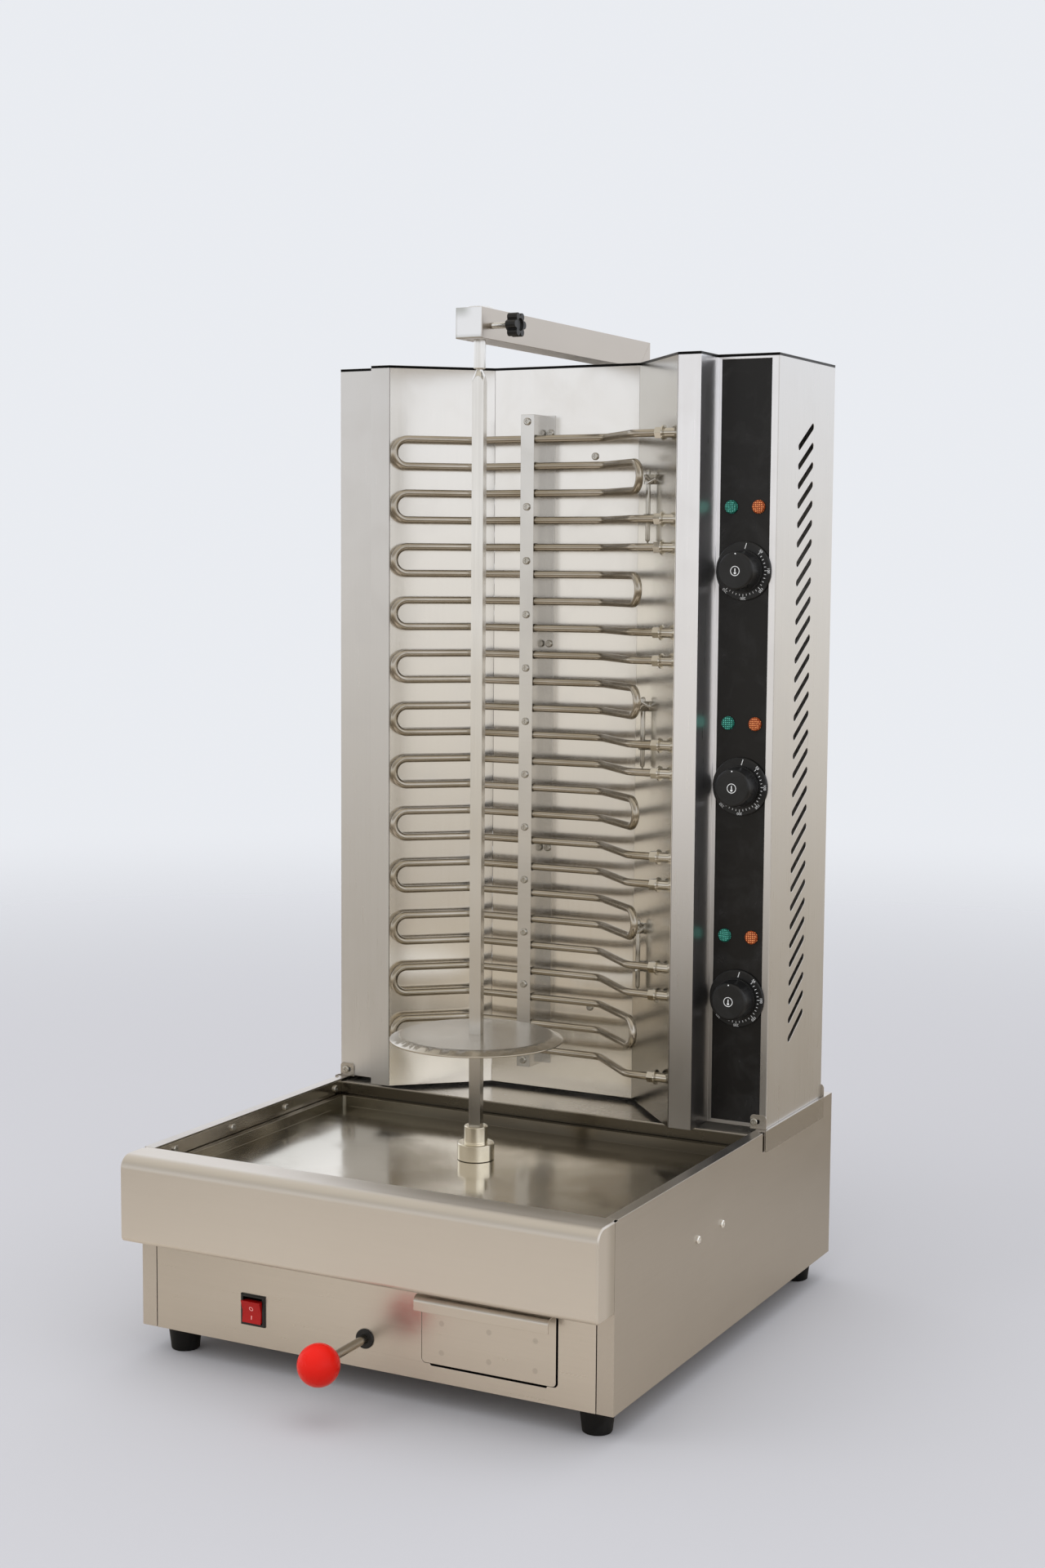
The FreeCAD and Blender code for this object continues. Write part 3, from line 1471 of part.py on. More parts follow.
pieces["clamp_strip"] = make_clamp_strip()
pieces["thermostat_feelers"] = make_feelers()
pieces["thermostat_bodies"] = make_thermostats()
pieces["dial_rings"] = make_dial_rings()
pieces["green_lamps"] = make_lamps(-1)
pieces["orange_lamps"] = make_lamps(1)
for i in range(len(zone_heights)):
    pieces["temperature_knob_%d" % (i + 1)] = make_temperature_knob(i)
pieces["spit_rod"] = make_spit_rod()
pieces["spit_socket"] = make_spit_socket()
pieces["drive_shaft"] = make_drive_shaft()
pieces["disc_pin"] = disc_pin_solid(disc_pin_radius, disc_pin_length)
pieces["spit_disc"] = make_disc()
pieces["gear_motor"] = make_gear_motor()
pieces["bearing_housing"] = make_bearing_housing()
pieces["top_arm"] = make_top_arm()
pieces["arm_post"] = make_arm_post()
pieces["post_strap"] = make_post_strap()
pieces["top_pin"] = make_top_pin()
pieces["star_knob"] = make_star_knob()
pieces["pull_rod"] = make_pull_rod()
pieces["ball_knob"] = make_ball()
pieces["rod_bush"] = make_rod_bush()
pieces["switch_frame"] = make_switch_frame()
pieces["switch_rocker"] = make_rocker()
pieces["drawer_front"] = make_drawer_front()
pieces["drawer_tray"] = make_drawer_tray()
pieces["drawer_runners"] = make_drawer_runners()
pieces["terminal_block"] = make_terminal_block()
pieces["cable_gland"] = make_cable_gland()

os.makedirs("parts", exist_ok=True)
for name, shape in pieces.items():
    shape = shape.copy()
    shape.translate(V(0, -origin_y, foot_height))
    if not shape.isValid():
        print("not valid:", name)
    shape.exportStep("parts/%s.step" % name)
print("pieces:", len(pieces), "origin_y: %.3f" % origin_y)
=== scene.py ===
import json
import math
import bpy
from mathutils import Matrix, Vector


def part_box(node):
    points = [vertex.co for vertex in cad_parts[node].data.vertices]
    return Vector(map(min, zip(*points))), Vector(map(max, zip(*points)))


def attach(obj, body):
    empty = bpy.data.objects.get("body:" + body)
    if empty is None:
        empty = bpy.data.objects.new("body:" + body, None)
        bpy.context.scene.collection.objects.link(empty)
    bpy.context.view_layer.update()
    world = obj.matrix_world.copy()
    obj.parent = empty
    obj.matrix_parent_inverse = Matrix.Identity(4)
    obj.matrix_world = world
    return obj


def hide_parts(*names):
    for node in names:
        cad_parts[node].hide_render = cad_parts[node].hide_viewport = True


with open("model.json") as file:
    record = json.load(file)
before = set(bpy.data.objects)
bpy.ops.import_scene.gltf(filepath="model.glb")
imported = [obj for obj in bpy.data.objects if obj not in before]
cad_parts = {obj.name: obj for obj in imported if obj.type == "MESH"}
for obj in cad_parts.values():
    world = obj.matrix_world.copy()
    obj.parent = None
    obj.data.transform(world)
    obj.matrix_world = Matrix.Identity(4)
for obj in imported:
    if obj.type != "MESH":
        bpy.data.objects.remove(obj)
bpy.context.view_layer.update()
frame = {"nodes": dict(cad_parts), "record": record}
nodes = frame["nodes"]
print("frame loaded:", len(nodes), "nodes")

mm = 0.001
scene = bpy.context.scene


# Small helpers for selecting and for edit mode

def deselectAll():
    bpy.ops.object.select_all(action="DESELECT")


def pick(*pieces):
    deselectAll()
    for piece in pieces:
        piece.select_set(True)
    bpy.context.view_layer.objects.active = pieces[-1]


def editMode():
    bpy.ops.object.mode_set(mode="EDIT")


def objectMode():
    bpy.ops.object.mode_set(mode="OBJECT")


def applyPlace(piece):
    pick(piece)
    bpy.ops.object.transform_apply(location=True, rotation=True, scale=True)


def addModifier(piece, kind, **values):
    modifier = piece.modifiers.new(kind.lower(), kind)
    for key, value in values.items():
        setattr(modifier, key, value)
    pick(piece)
    bpy.ops.object.modifier_apply(modifier=modifier.name)


def selectOnly(piece, kind, test):
    # Selects, in edit mode, the faces, edges or points of the piece that pass the test.
    bpy.ops.mesh.select_mode(type=kind)
    bpy.ops.mesh.select_all(action="DESELECT")
    objectMode()
    members = {"FACE": piece.data.polygons, "EDGE": piece.data.edges, "VERT": piece.data.vertices}
    for member in members[kind]:
        member.select = test(member)
    editMode()


def joinPieces(parts, name):
    pick(*parts)
    bpy.ops.object.join()
    joined = bpy.context.view_layer.objects.active
    joined.name = name
    joined.data.name = name
    return joined


def finishPiece(piece, name, material, body, smooth):
    # Names the piece, gives it its material and its body, and puts its place into its mesh.
    applyPlace(piece)
    piece.name = name
    piece.data.name = name
    piece.data.materials.clear()
    piece.data.materials.append(material)
    if smooth:
        pick(piece)
        bpy.ops.object.shade_smooth_by_angle(angle=math.radians(smooth))
    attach(piece, body)


# Shader node helpers

def addNode(tree, kind, **values):
    # Values whose names start with in_ go to the node's inputs, by number or by name.
    node = tree.nodes.new(kind)
    for key, value in values.items():
        if key.startswith("in_"):
            name = key[3:]
            socket = node.inputs[int(name)] if name.isdigit() else node.inputs[name.replace("_", " ")]
            socket.default_value = value
        else:
            setattr(node, key, value)
    return node


def setInputs(node, **values):
    for key, value in values.items():
        node.inputs[key.replace("_", " ")].default_value = value


def newGroup(name, inputs, outputs):
    # Empty node group with named sockets; inputs are (name, kind, default).
    tree = bpy.data.node_groups.new(name, "ShaderNodeTree")
    for label, kind, default in inputs:
        socket = tree.interface.new_socket(name=label, in_out="INPUT", socket_type=kind)
        if default is not None:
            socket.default_value = default
    for label, kind in outputs:
        tree.interface.new_socket(name=label, in_out="OUTPUT", socket_type=kind)
    entry = tree.nodes.new("NodeGroupInput")
    leave = tree.nodes.new("NodeGroupOutput")
    return tree, entry, leave


def useGroup(tree, group, place, **values):
    node = tree.nodes.new("ShaderNodeGroup")
    node.node_tree = group
    setInputs(node, **values)
    tree.links.new(place, node.inputs["Coordinates"])
    return node


def ramp(tree, source, stops):
    node = tree.nodes.new("ShaderNodeValToRGB")
    elements = node.color_ramp.elements
    while len(elements) < len(stops):
        elements.new(0.5)
    for element, (position, colour) in zip(elements, stops):
        element.position = position
        element.color = (*colour, 1)
    tree.links.new(source, node.inputs["Fac"])
    return node.outputs["Color"]


def mathNode(tree, operation, first, second, clamp=False):
    node = addNode(tree, "ShaderNodeMath", operation=operation, use_clamp=clamp)
    for index, value in enumerate((first, second)):
        if isinstance(value, (int, float)):
            node.inputs[index].default_value = value
        else:
            tree.links.new(value, node.inputs[index])
    return node.outputs["Value"]


def varied(tree, base, source, spread):
    # The base, plus the source times the spread.
    return mathNode(tree, "ADD", mathNode(tree, "MULTIPLY", source, spread), base)


def between(tree, source, start, end, kind="SMOOTHSTEP"):
    # Nought up to the start and one past the end.
    node = addNode(tree, "ShaderNodeMapRange", interpolation_type=kind, in_1=start, in_2=end)
    tree.links.new(source, node.inputs[0])
    return node.outputs[0]


def splitAxes(tree, source):
    node = addNode(tree, "ShaderNodeSeparateXYZ")
    tree.links.new(source, node.inputs[0])
    return node.outputs


def mixColour(tree, share, first, second, blend="MIX"):
    node = addNode(tree, "ShaderNodeMix", data_type="RGBA", blend_type=blend)
    for socket, value in zip((node.inputs[0], node.inputs[6], node.inputs[7]), (share, first, second)):
        if isinstance(value, (int, float)):
            socket.default_value = value
        elif isinstance(value, (tuple, list)):
            socket.default_value = (*value, 1)
        else:
            tree.links.new(value, socket)
    return node.outputs[2]


def toned(colour, share):
    return tuple(min(1.0, part * share) for part in colour)


# Effects shared by several materials

effects = {
    "smudgeStart": 0.48,    # level of the noise at which a smudge begins
    "smudgeGain": 4.0,
    "weldEdge": (1.1, 0.7),    # shares of the radius between which a mark comes in
}


def makeRolledGrain():
    # Fine lines that run one way, with slow cloudy changes, as on brushed sheet.
    tree, entry, leave = newGroup("rolledGrain", [
        ("Coordinates", "NodeSocketVector", None), ("Stretch", "NodeSocketVector", (400, 400, 12)),
        ("Cloud Size", "NodeSocketFloat", 7.0)],
        [("Lines", "NodeSocketFloat"), ("Clouds", "NodeSocketFloat")])
    stretch = addNode(tree, "ShaderNodeVectorMath", operation="MULTIPLY")
    tree.links.new(entry.outputs["Coordinates"], stretch.inputs[0])
    tree.links.new(entry.outputs["Stretch"], stretch.inputs[1])
    lines = addNode(tree, "ShaderNodeTexNoise", in_Scale=1.0, in_Detail=3.0, in_Roughness=0.65)
    tree.links.new(stretch.outputs[0], lines.inputs["Vector"])
    clouds = addNode(tree, "ShaderNodeTexNoise", in_Detail=2.0, in_Roughness=0.5)
    tree.links.new(entry.outputs["Coordinates"], clouds.inputs["Vector"])
    tree.links.new(entry.outputs["Cloud Size"], clouds.inputs["Scale"])
    tree.links.new(lines.outputs["Fac"], leave.inputs["Lines"])
    tree.links.new(clouds.outputs["Fac"], leave.inputs["Clouds"])
    return tree


def makeHandling():
    # Soft smudges, as left by hands and cloths.
    tree, entry, leave = newGroup("handling", [
        ("Coordinates", "NodeSocketVector", None), ("Smudge Size", "NodeSocketFloat", 16.0)],
        [("Smudges", "NodeSocketFloat")])
    smudge = addNode(tree, "ShaderNodeTexNoise", in_Detail=4.0, in_Roughness=0.6, in_Distortion=0.6)
    tree.links.new(entry.outputs["Coordinates"], smudge.inputs["Vector"])
    tree.links.new(entry.outputs["Smudge Size"], smudge.inputs["Scale"])
    soft = mathNode(tree, "SUBTRACT", smudge.outputs["Fac"], effects["smudgeStart"])
    soft = mathNode(tree, "MULTIPLY", soft, effects["smudgeGain"], clamp=True)
    tree.links.new(soft, leave.inputs["Smudges"])
    return tree


def makeMottle():
    # Fine even roughness of moulded or cast surfaces.
    tree, entry, leave = newGroup("mottle", [
        ("Coordinates", "NodeSocketVector", None), ("Size", "NodeSocketFloat", 900.0)],
        [("Height", "NodeSocketFloat")])
    speck = addNode(tree, "ShaderNodeTexNoise", in_Detail=2.0, in_Roughness=0.6)
    tree.links.new(entry.outputs["Coordinates"], speck.inputs["Vector"])
    tree.links.new(entry.outputs["Size"], speck.inputs["Scale"])
    tree.links.new(speck.outputs["Fac"], leave.inputs["Height"])
    return tree


def makeWeldMark():
    # Round shallow mark of a spot weld at one place.
    tree, entry, leave = newGroup("weldMark", [
        ("Coordinates", "NodeSocketVector", None), ("Centre", "NodeSocketVector", (0, 0, 0)),
        ("Radius", "NodeSocketFloat", 0.003)],
        [("Mark", "NodeSocketFloat")])
    away = addNode(tree, "ShaderNodeVectorMath", operation="DISTANCE")
    tree.links.new(entry.outputs["Coordinates"], away.inputs[0])
    tree.links.new(entry.outputs["Centre"], away.inputs[1])
    share = mathNode(tree, "DIVIDE", away.outputs["Value"], entry.outputs["Radius"])
    tree.links.new(between(tree, share, *effects["weldEdge"]), leave.inputs["Mark"])
    return tree


rolledGrain = makeRolledGrain()
handling = makeHandling()
mottle = makeMottle()
weldMark = makeWeldMark()


# What all the materials begin with, their relief and their painted shade and light

def startMaterial(name):
    material = bpy.data.materials.new(name)
    material.use_nodes = True
    tree = material.node_tree
    shader = tree.nodes["Principled BSDF"]
    place = addNode(tree, "ShaderNodeTexCoord").outputs["Object"]
    return material, tree, shader, place


def addBump(tree, shader, height, distance, strength):
    bump = addNode(tree, "ShaderNodeBump", in_Strength=strength, in_Distance=distance * mm)
    tree.links.new(height, bump.inputs["Height"])
    tree.links.new(bump.outputs["Normal"], shader.inputs["Normal"])


def shareWithin(tree, place, spans, share=1.0):
    # The share where all the spans, (axis, start, end), are reached, and none elsewhere.
    axes = splitAxes(tree, place)
    for axis, start, end in spans:
        share = mathNode(tree, "MULTIPLY", share, between(tree, axes[axis], start, end))
    return share


def addFilms(tree, place, colour, values):
    # Painted shade, painted highlights and reflections, and other tones laid on by place, each of them
    # (spans, share, colour)
    for spans, share, tone in values.get("paintedShadeAndLight", ()):
        colour = mixColour(tree, shareWithin(tree, place, spans, share), colour, tone)
    return colour


# The kinds of material

sheetLook = {
    "cloudTone": 0.55,
    "weldShare": 0.4,
    "weldTone": 0.6,
    "weldDepth": 8.0,    # times the relief of the lines
    "bumpStrength": 0.6,
}


def sheetSteel(name, values):
    # Brushed or rolled sheet: lines along one axis, clouds, smudges.
    material, tree, shader, place = startMaterial(name)
    grain = useGroup(tree, rolledGrain, place, Stretch=values["stretch"], Cloud_Size=values["cloudSize"])
    wear = useGroup(tree, handling, place)
    steel = values["colour"]
    colour = mixColour(tree, grain.outputs["Lines"], toned(steel, 1 - values["contrast"]),
                       toned(steel, 1 + values["contrast"]))
    cloud = mathNode(tree, "MULTIPLY", grain.outputs["Clouds"], values["cloudDepth"])
    colour = mixColour(tree, cloud, colour, toned(steel, sheetLook["cloudTone"]))
    relief = grain.outputs["Lines"]
    for centre in values.get("welds", ()):
        mark = useGroup(tree, weldMark, place, Centre=centre).outputs["Mark"]
        colour = mixColour(tree, mathNode(tree, "MULTIPLY", mark, sheetLook["weldShare"]), colour,
                           toned(steel, sheetLook["weldTone"]))
        relief = varied(tree, relief, mark, -sheetLook["weldDepth"])
    if "waves" in values:    # thin sheet that is not quite flat
        size, height = values["waves"]
        wave = addNode(tree, "ShaderNodeTexNoise", in_Scale=size, in_Detail=1.0, in_Roughness=0.4)
        tree.links.new(place, wave.inputs["Vector"])
        relief = varied(tree, relief, wave.outputs["Fac"], height / values["relief"])
    tree.links.new(addFilms(tree, place, colour, values), shader.inputs["Base Color"])
    rough = varied(tree, values["roughness"], grain.outputs["Lines"], values["roughSpread"])
    rough = varied(tree, rough, wear.outputs["Smudges"], values["smudge"])
    tree.links.new(rough, shader.inputs["Roughness"])
    setInputs(shader, Metallic=1.0)
    if "dull" in values:    # unpolished inside of a channel
        dull = shareWithin(tree, place, values["dull"])
        tree.links.new(mathNode(tree, "SUBTRACT", 1.0, dull), shader.inputs["Metallic"])
    addBump(tree, shader, relief, values["relief"], sheetLook["bumpStrength"])
    return material


barLook = {
    "stainStart": 0.35,
    "stainFull": 0.75,
    "lineShare": 0.35,
    "lineTone": 0.7,
    "relief": 0.02,
    "bumpStrength": 0.5,
}


def turnedSteel(name, values):
    # Turned or drawn bar: fine lines round the piece or along it, and slight stains.
    material, tree, shader, place = startMaterial(name)
    grain = useGroup(tree, rolledGrain, place, Stretch=values["stretch"], Cloud_Size=values["cloudSize"])
    stain = ramp(tree, grain.outputs["Clouds"], [(barLook["stainStart"], values["colour"]),
                                                 (barLook["stainFull"], values["stain"])])
    lined = mixColour(tree, mathNode(tree, "MULTIPLY", grain.outputs["Lines"], barLook["lineShare"]), stain,
                      toned(values["colour"], barLook["lineTone"]))
    tree.links.new(addFilms(tree, place, lined, values), shader.inputs["Base Color"])
    rough = varied(tree, values["roughness"], grain.outputs["Lines"], values["roughSpread"])
    tree.links.new(rough, shader.inputs["Roughness"])
    setInputs(shader, Metallic=1.0)
    addBump(tree, shader, grain.outputs["Lines"], barLook["relief"], barLook["bumpStrength"])
    return material


plasticLook = {
    "smudgeSize": 30.0,
    "smudgeRoughness": 0.08,
    "bumpStrength": 0.5,
}


def plastic(name, values):
    # Moulded plastic, rubber, enamel or print, a little faded and smudged.
    material, tree, shader, place = startMaterial(name)
    speck = useGroup(tree, mottle, place, Size=values["grain"])
    wear = useGroup(tree, handling, place, Smudge_Size=plasticLook["smudgeSize"])
    worn = tuple(part + (1 - part) * values["fade"] for part in values["colour"])
    tree.links.new(mixColour(tree, wear.outputs["Smudges"], values["colour"], worn),
                   shader.inputs["Base Color"])
    rough = varied(tree, values["roughness"], wear.outputs["Smudges"], plasticLook["smudgeRoughness"])
    tree.links.new(rough, shader.inputs["Roughness"])
    setInputs(shader, Specular_IOR_Level=values["specular"], Coat_Weight=values["coat"],
              Coat_Roughness=values["coatRoughness"])
    addBump(tree, shader, speck.outputs["Height"], values["relief"], plasticLook["bumpStrength"])
    return material


lensLook = {
    "facets": 480.0,    # in a metre
    "scatter": 0.15,
    "sparkSize": 0.30,
    "roughness": 0.28,
    "specular": 0.3,
    "relief": 0.3,
    "bumpStrength": 0.7,
}


def lens(name, values):
    # Moulded lamp lens with rows of small bright facets.
    material, tree, shader, place = startMaterial(name)
    facets = addNode(tree, "ShaderNodeTexVoronoi", in_Scale=lensLook["facets"],
                     in_Randomness=lensLook["scatter"])
    tree.links.new(place, facets.inputs["Vector"])
    spark = mathNode(tree, "LESS_THAN", facets.outputs["Distance"], lensLook["sparkSize"])
    tree.links.new(mixColour(tree, spark, values["colour"], values["spark"]), shader.inputs["Base Color"])
    tree.links.new(mixColour(tree, spark, (0, 0, 0), values["spark"]), shader.inputs["Emission Color"])
    setInputs(shader, Roughness=lensLook["roughness"], Specular_IOR_Level=lensLook["specular"],
              Emission_Strength=values["glow"])
    addBump(tree, shader, facets.outputs["Distance"], lensLook["relief"], lensLook["bumpStrength"])
    return material


# The finishes. Stretch gives the way of the lines, relief is in millimetres. A patch of painted
# shade or light, or a dull part, lies where all its spans are reached: an axis, and where in metres it
# starts and is full.

upright = (420, 420, 9)
across = (9, 420, 420)
inward = (420, 9, 420)

# Painted shade: a dark brown laid on recesses and shaded parts of the pan and the deck
paintedShade = (0.10, 0.085, 0.06)
# Painted shade: a dark tone laid where the steel shows dark reflections, mostly low down
paintedDeepShade = (0.16, 0.14, 0.11)
# Painted shade: laid on the edges and the bottom of the arm's front cap
paintedEdgeShade = (0.42, 0.43, 0.40)
black = (0.01, 0.01, 0.01)
paintedShadowLine = ([("Z", 0.9959, 0.9963)], 1.0, black)    # painted shadow: black line under the edge of the cover
armFace = ("Y", -0.0535, -0.0539)
armInside = [("X", -0.0142, -0.0138), ("X", 0.0142, 0.0138), ("Y", -0.0530, -0.0520),
             ("Z", 1.0366, 1.0358)]
weldPlaces = [(x * mm, -0.247, z * mm) for x in (83, 133, 181) for z in (85, 57)]

plainSheet = {"contrast": 0.04, "cloudSize": 4.0, "cloudDepth": 0.12, "roughness": 0.24,
              "roughSpread": 0.10, "smudge": 0.05, "relief": 0.004}
frontSheet = {**plainSheet, "colour": (0.63, 0.59, 0.54), "stretch": across, "relief": 0.008}
boxSheet = {**plainSheet, "colour": (0.70, 0.69, 0.68), "stretch": upright, "contrast": 0.05,
            "cloudSize": 5.0, "cloudDepth": 0.10, "smudge": 0.04, "relief": 0.010}
brightSheet = {**plainSheet, "stretch": upright, "contrast": 0.03, "cloudSize": 6.0, "roughness": 0.15,
               "roughSpread": 0.05}
satinSheet = {**plainSheet, "stretch": across, "contrast": 0.02, "cloudSize": 3.0, "cloudDepth": 0.15,
              "roughSpread": 0.03, "relief": 0.002}

sheetFinish = {
    # Front panel: painted shade, darker towards the left, under the lip
    "panelSheet": {**frontSheet, "paintedShadeAndLight": [([("X", 0.05, -0.26)], 0.30, (0.34, 0.31, 0.27))]},
    "drawerSheet": {**frontSheet, "welds": weldPlaces},
    # Lip: painted darker reflection across its top face
    "lipSheet": {**plainSheet, "colour": (0.70, 0.655, 0.60), "stretch": across, "contrast": 0.02,
                 "roughness": 0.41, "roughSpread": 0.06, "smudge": 0.04,
                 "paintedShadeAndLight": [([("Y", -0.268, -0.250), ("X", -0.20, 0.20)], 0.50, (0.34, 0.30, 0.24))]},
    # Deck: painted shade, near black, on its low front nose
    "deckSheet": {**plainSheet, "colour": (0.60, 0.56, 0.50), "stretch": across, "contrast": 0.03,
                  "roughness": 0.22, "roughSpread": 0.08,
                  "paintedShadeAndLight": [([("Z", 0.2046, 0.2028)], 0.95, paintedShade)]},
    "casingSide": {**plainSheet, "colour": (0.56, 0.522, 0.478), "stretch": inward, "contrast": 0.05,
                   "cloudSize": 4.5, "cloudDepth": 0.28, "roughness": 0.26, "relief": 0.010},
    "bracketSheet": {**plainSheet, "colour": (0.50, 0.47, 0.43), "stretch": across, "cloudSize": 8.0,
                     "roughness": 0.20, "roughSpread": 0.08},
    # Left shell: painted shadow line under the cover
    "columnSheet": {**boxSheet, "contrast": 0.03, "relief": 0.008, "paintedShadeAndLight": [paintedShadowLine]},
    # Right box: painted reflections, its right side lighter and darker lower down, its front part darker
    # lower down; painted shadow line at the top
    "rightBoxSheet": {**boxSheet,
                      "paintedShadeAndLight": [([("X", 0.2575, 0.2565)], 1.0, (0.90, 0.90, 0.92)),
                                ([("X", 0.2575, 0.2565), ("Z", 0.62, 0.24)], 0.66, paintedDeepShade),
                                ([("Y", 0.0800, 0.0782), ("Z", 0.45, 0.24)], 0.30, paintedDeepShade), paintedShadowLine]},
    # Cover: painted shadow, its thin edge black
    "capSheet": {**boxSheet, "stretch": inward, "paintedShadeAndLight": [([("Z", 0.99895, 0.9988)], 1.0, black)]},
    # Right wing: a lighter copy of the reflector sheet, with painted darker reflections near the top and
    # low down, and the painted shadow line
    "rightWingSheet": {**brightSheet, "colour": (0.95, 0.93, 0.88), "cloudDepth": 0.08,
                       "paintedShadeAndLight": [([("Z", 0.78, 0.93)], 0.38, paintedDeepShade),
                                 ([("Z", 0.44, 0.22)], 0.8, paintedDeepShade), paintedShadowLine]},
    # Reflectors: painted reflection, brighter and warmer lower down, and the painted shadow line
    "reflectorSheet": {**brightSheet, "colour": (0.82, 0.80, 0.77), "cloudDepth": 0.10,
                       "paintedShadeAndLight": [([("Z", 0.46, 0.30)], 0.8, (0.98, 0.93, 0.84)), paintedShadowLine]},
    "stripSheet": {**plainSheet, "colour": (0.74, 0.725, 0.70), "stretch": across, "cloudSize": 16.0,
                   "cloudDepth": 0.45, "roughness": 0.16, "roughSpread": 0.08},
    # Pan: painted shade towards the back, the right and the front, and a milder painted shade towards the
    # left
    "panSheet": {**satinSheet, "colour": (0.72, 0.67, 0.58), "roughness": 0.12, "smudge": 0.10,
                 "waves": (8.0, 2.0),
                 "paintedShadeAndLight": [([("Y", 0.02, 0.105)], 0.85, paintedShade), ([("X", 0.10, 0.245)], 0.60, paintedShade),
                           ([("X", -0.06, -0.19)], 0.45, (0.30, 0.28, 0.22)),
                           ([("Y", -0.13, -0.23)], 0.40, paintedShade)]},
    "wellSheet": {**satinSheet, "colour": (0.60, 0.56, 0.50), "roughness": 0.14, "smudge": 0.08},
    # Arm: pale matt inside of the channel; the front cap painted lighter than the sides, as lit, with
    # painted shade at its left edge, its bottom and its upper left
    "armSheet": {**plainSheet, "colour": (0.52, 0.475, 0.425), "stretch": (120, 6, 120), "contrast": 0.015,
                 "cloudSize": 9.0, "cloudDepth": 0.10, "roughness": 0.28, "roughSpread": 0.0,
                 "smudge": 0.0, "relief": 0.0005, "dull": armInside,
                 "paintedShadeAndLight": [(armInside, 1.0, (0.93, 0.90, 0.86)),
                           ([armFace], 1.0, (0.90, 0.91, 0.93)),
                           ([armFace, ("X", 0.006, -0.008), ("Z", 1.0240, 1.0360)], 0.7, paintedEdgeShade),
                           ([armFace, ("X", -0.0120, -0.0148)], 0.5, paintedEdgeShade),
                           ([armFace, ("Z", 1.0120, 1.0078)], 0.45, paintedEdgeShade)]},
    "zincSheet": {**plainSheet, "colour": (0.55, 0.56, 0.57), "stretch": (60, 60, 60), "contrast": 0.10,
                  "cloudSize": 20.0, "cloudDepth": 0.25, "roughness": 0.42, "relief": 0.010},
}
barFinish = {
    # Spit: painted shade, darker low down
    "spitSteel": {"colour": (0.85, 0.84, 0.82), "stain": (0.73, 0.70, 0.65), "stretch": upright,
                  "cloudSize": 9.0, "roughness": 0.16, "roughSpread": 0.10,
                  "paintedShadeAndLight": [([("Z", 0.36, 0.25)], 0.40, paintedDeepShade)]},
    "socketSteel": {"colour": (0.93, 0.87, 0.74), "stain": (0.80, 0.74, 0.60), "stretch": (20, 20, 900),
                    "cloudSize": 30.0, "roughness": 0.16, "roughSpread": 0.12},
    "discSteel": {"colour": (0.66, 0.62, 0.55), "stain": (0.54, 0.49, 0.41), "stretch": (60, 60, 60),
                  "cloudSize": 8.0, "roughness": 0.16, "roughSpread": 0.08},
    "tubeSteel": {"colour": (0.54, 0.495, 0.43), "stain": (0.38, 0.33, 0.25), "stretch": (30, 240, 240),
                  "cloudSize": 14.0, "roughness": 0.17, "roughSpread": 0.10},
    # Screws: painted highlight on the screws in the right side of the casing
    "screwSteel": {"colour": (0.60, 0.58, 0.54), "stain": (0.48, 0.46, 0.41), "stretch": (300, 300, 300),
                   "cloudSize": 60.0, "roughness": 0.16, "roughSpread": 0.08,
                   "paintedShadeAndLight": [([("X", 0.2590, 0.2602)], 1.0, (0.93, 0.92, 0.89))]},
    "ferruleSteel": {"colour": (0.70, 0.67, 0.61), "stain": (0.54, 0.50, 0.43), "stretch": (600, 60, 60),
                     "cloudSize": 40.0, "roughness": 0.08, "roughSpread": 0.08},
}
plainPlastic = {"fade": 0.01, "grain": 900.0, "specular": 0.5, "coat": 0.0, "coatRoughness": 0.3}
printPaint = {**plainPlastic, "fade": 0.1, "roughness": 0.5, "relief": 0.002}
plasticFinish = {
    "fasciaBlack": {**plainPlastic, "colour": (0.012, 0.011, 0.010), "grain": 700.0, "roughness": 0.22,
                    "specular": 0.2, "relief": 0.004},
    "knobBlack": {**plainPlastic, "colour": (0.007, 0.007, 0.007), "grain": 1200.0, "roughness": 0.34,
                  "specular": 0.4, "relief": 0.015},
    "rubberBlack": {**plainPlastic, "colour": (0.004, 0.004, 0.004), "roughness": 0.55, "specular": 0.2,
                    "relief": 0.03},
    "ballRed": {**plainPlastic, "colour": (0.70, 0.012, 0.006), "fade": 0.0, "grain": 500.0,
                "roughness": 0.26, "specular": 0.14, "relief": 0.003},
    "rockerRed": {**plainPlastic, "colour": (0.40, 0.003, 0.003), "fade": 0.0, "roughness": 0.30,
                  "specular": 0.3, "coat": 0.1, "coatRoughness": 0.2, "relief": 0.006},
    "motorGrey": {**plainPlastic, "colour": (0.06, 0.062, 0.065), "fade": 0.05, "grain": 500.0,
                  "roughness": 0.4, "coat": 0.1, "relief": 0.03},
    "glazedWhite": {**plainPlastic, "colour": (0.74, 0.72, 0.67), "fade": 0.05, "grain": 300.0,
                    "roughness": 0.2, "coat": 0.5, "coatRoughness": 0.1, "relief": 0.01},
    "printWhite": {**printPaint, "colour": (0.82, 0.82, 0.80)},
    "printRose": {**printPaint, "colour": (0.95, 0.42, 0.38)},
}
lensFinish = {
    "lensGreen": {"colour": (0.004, 0.10, 0.07), "spark": (0.14, 0.60, 0.48), "glow": 0.15},
    "lensOrange": {"colour": (0.26, 0.045, 0.008), "spark": (0.95, 0.36, 0.13), "glow": 0.2},
}

paint = {}
for makeMaterial, table in ((sheetSteel, sheetFinish), (turnedSteel, barFinish), (plastic, plasticFinish),
                            (lens, lensFinish)):
    for name, values in table.items():
        paint[name] = makeMaterial(name, values)
print("materials:", len(paint))


# Every CAD piece again, merged, with its edges eased and its round faces smooth

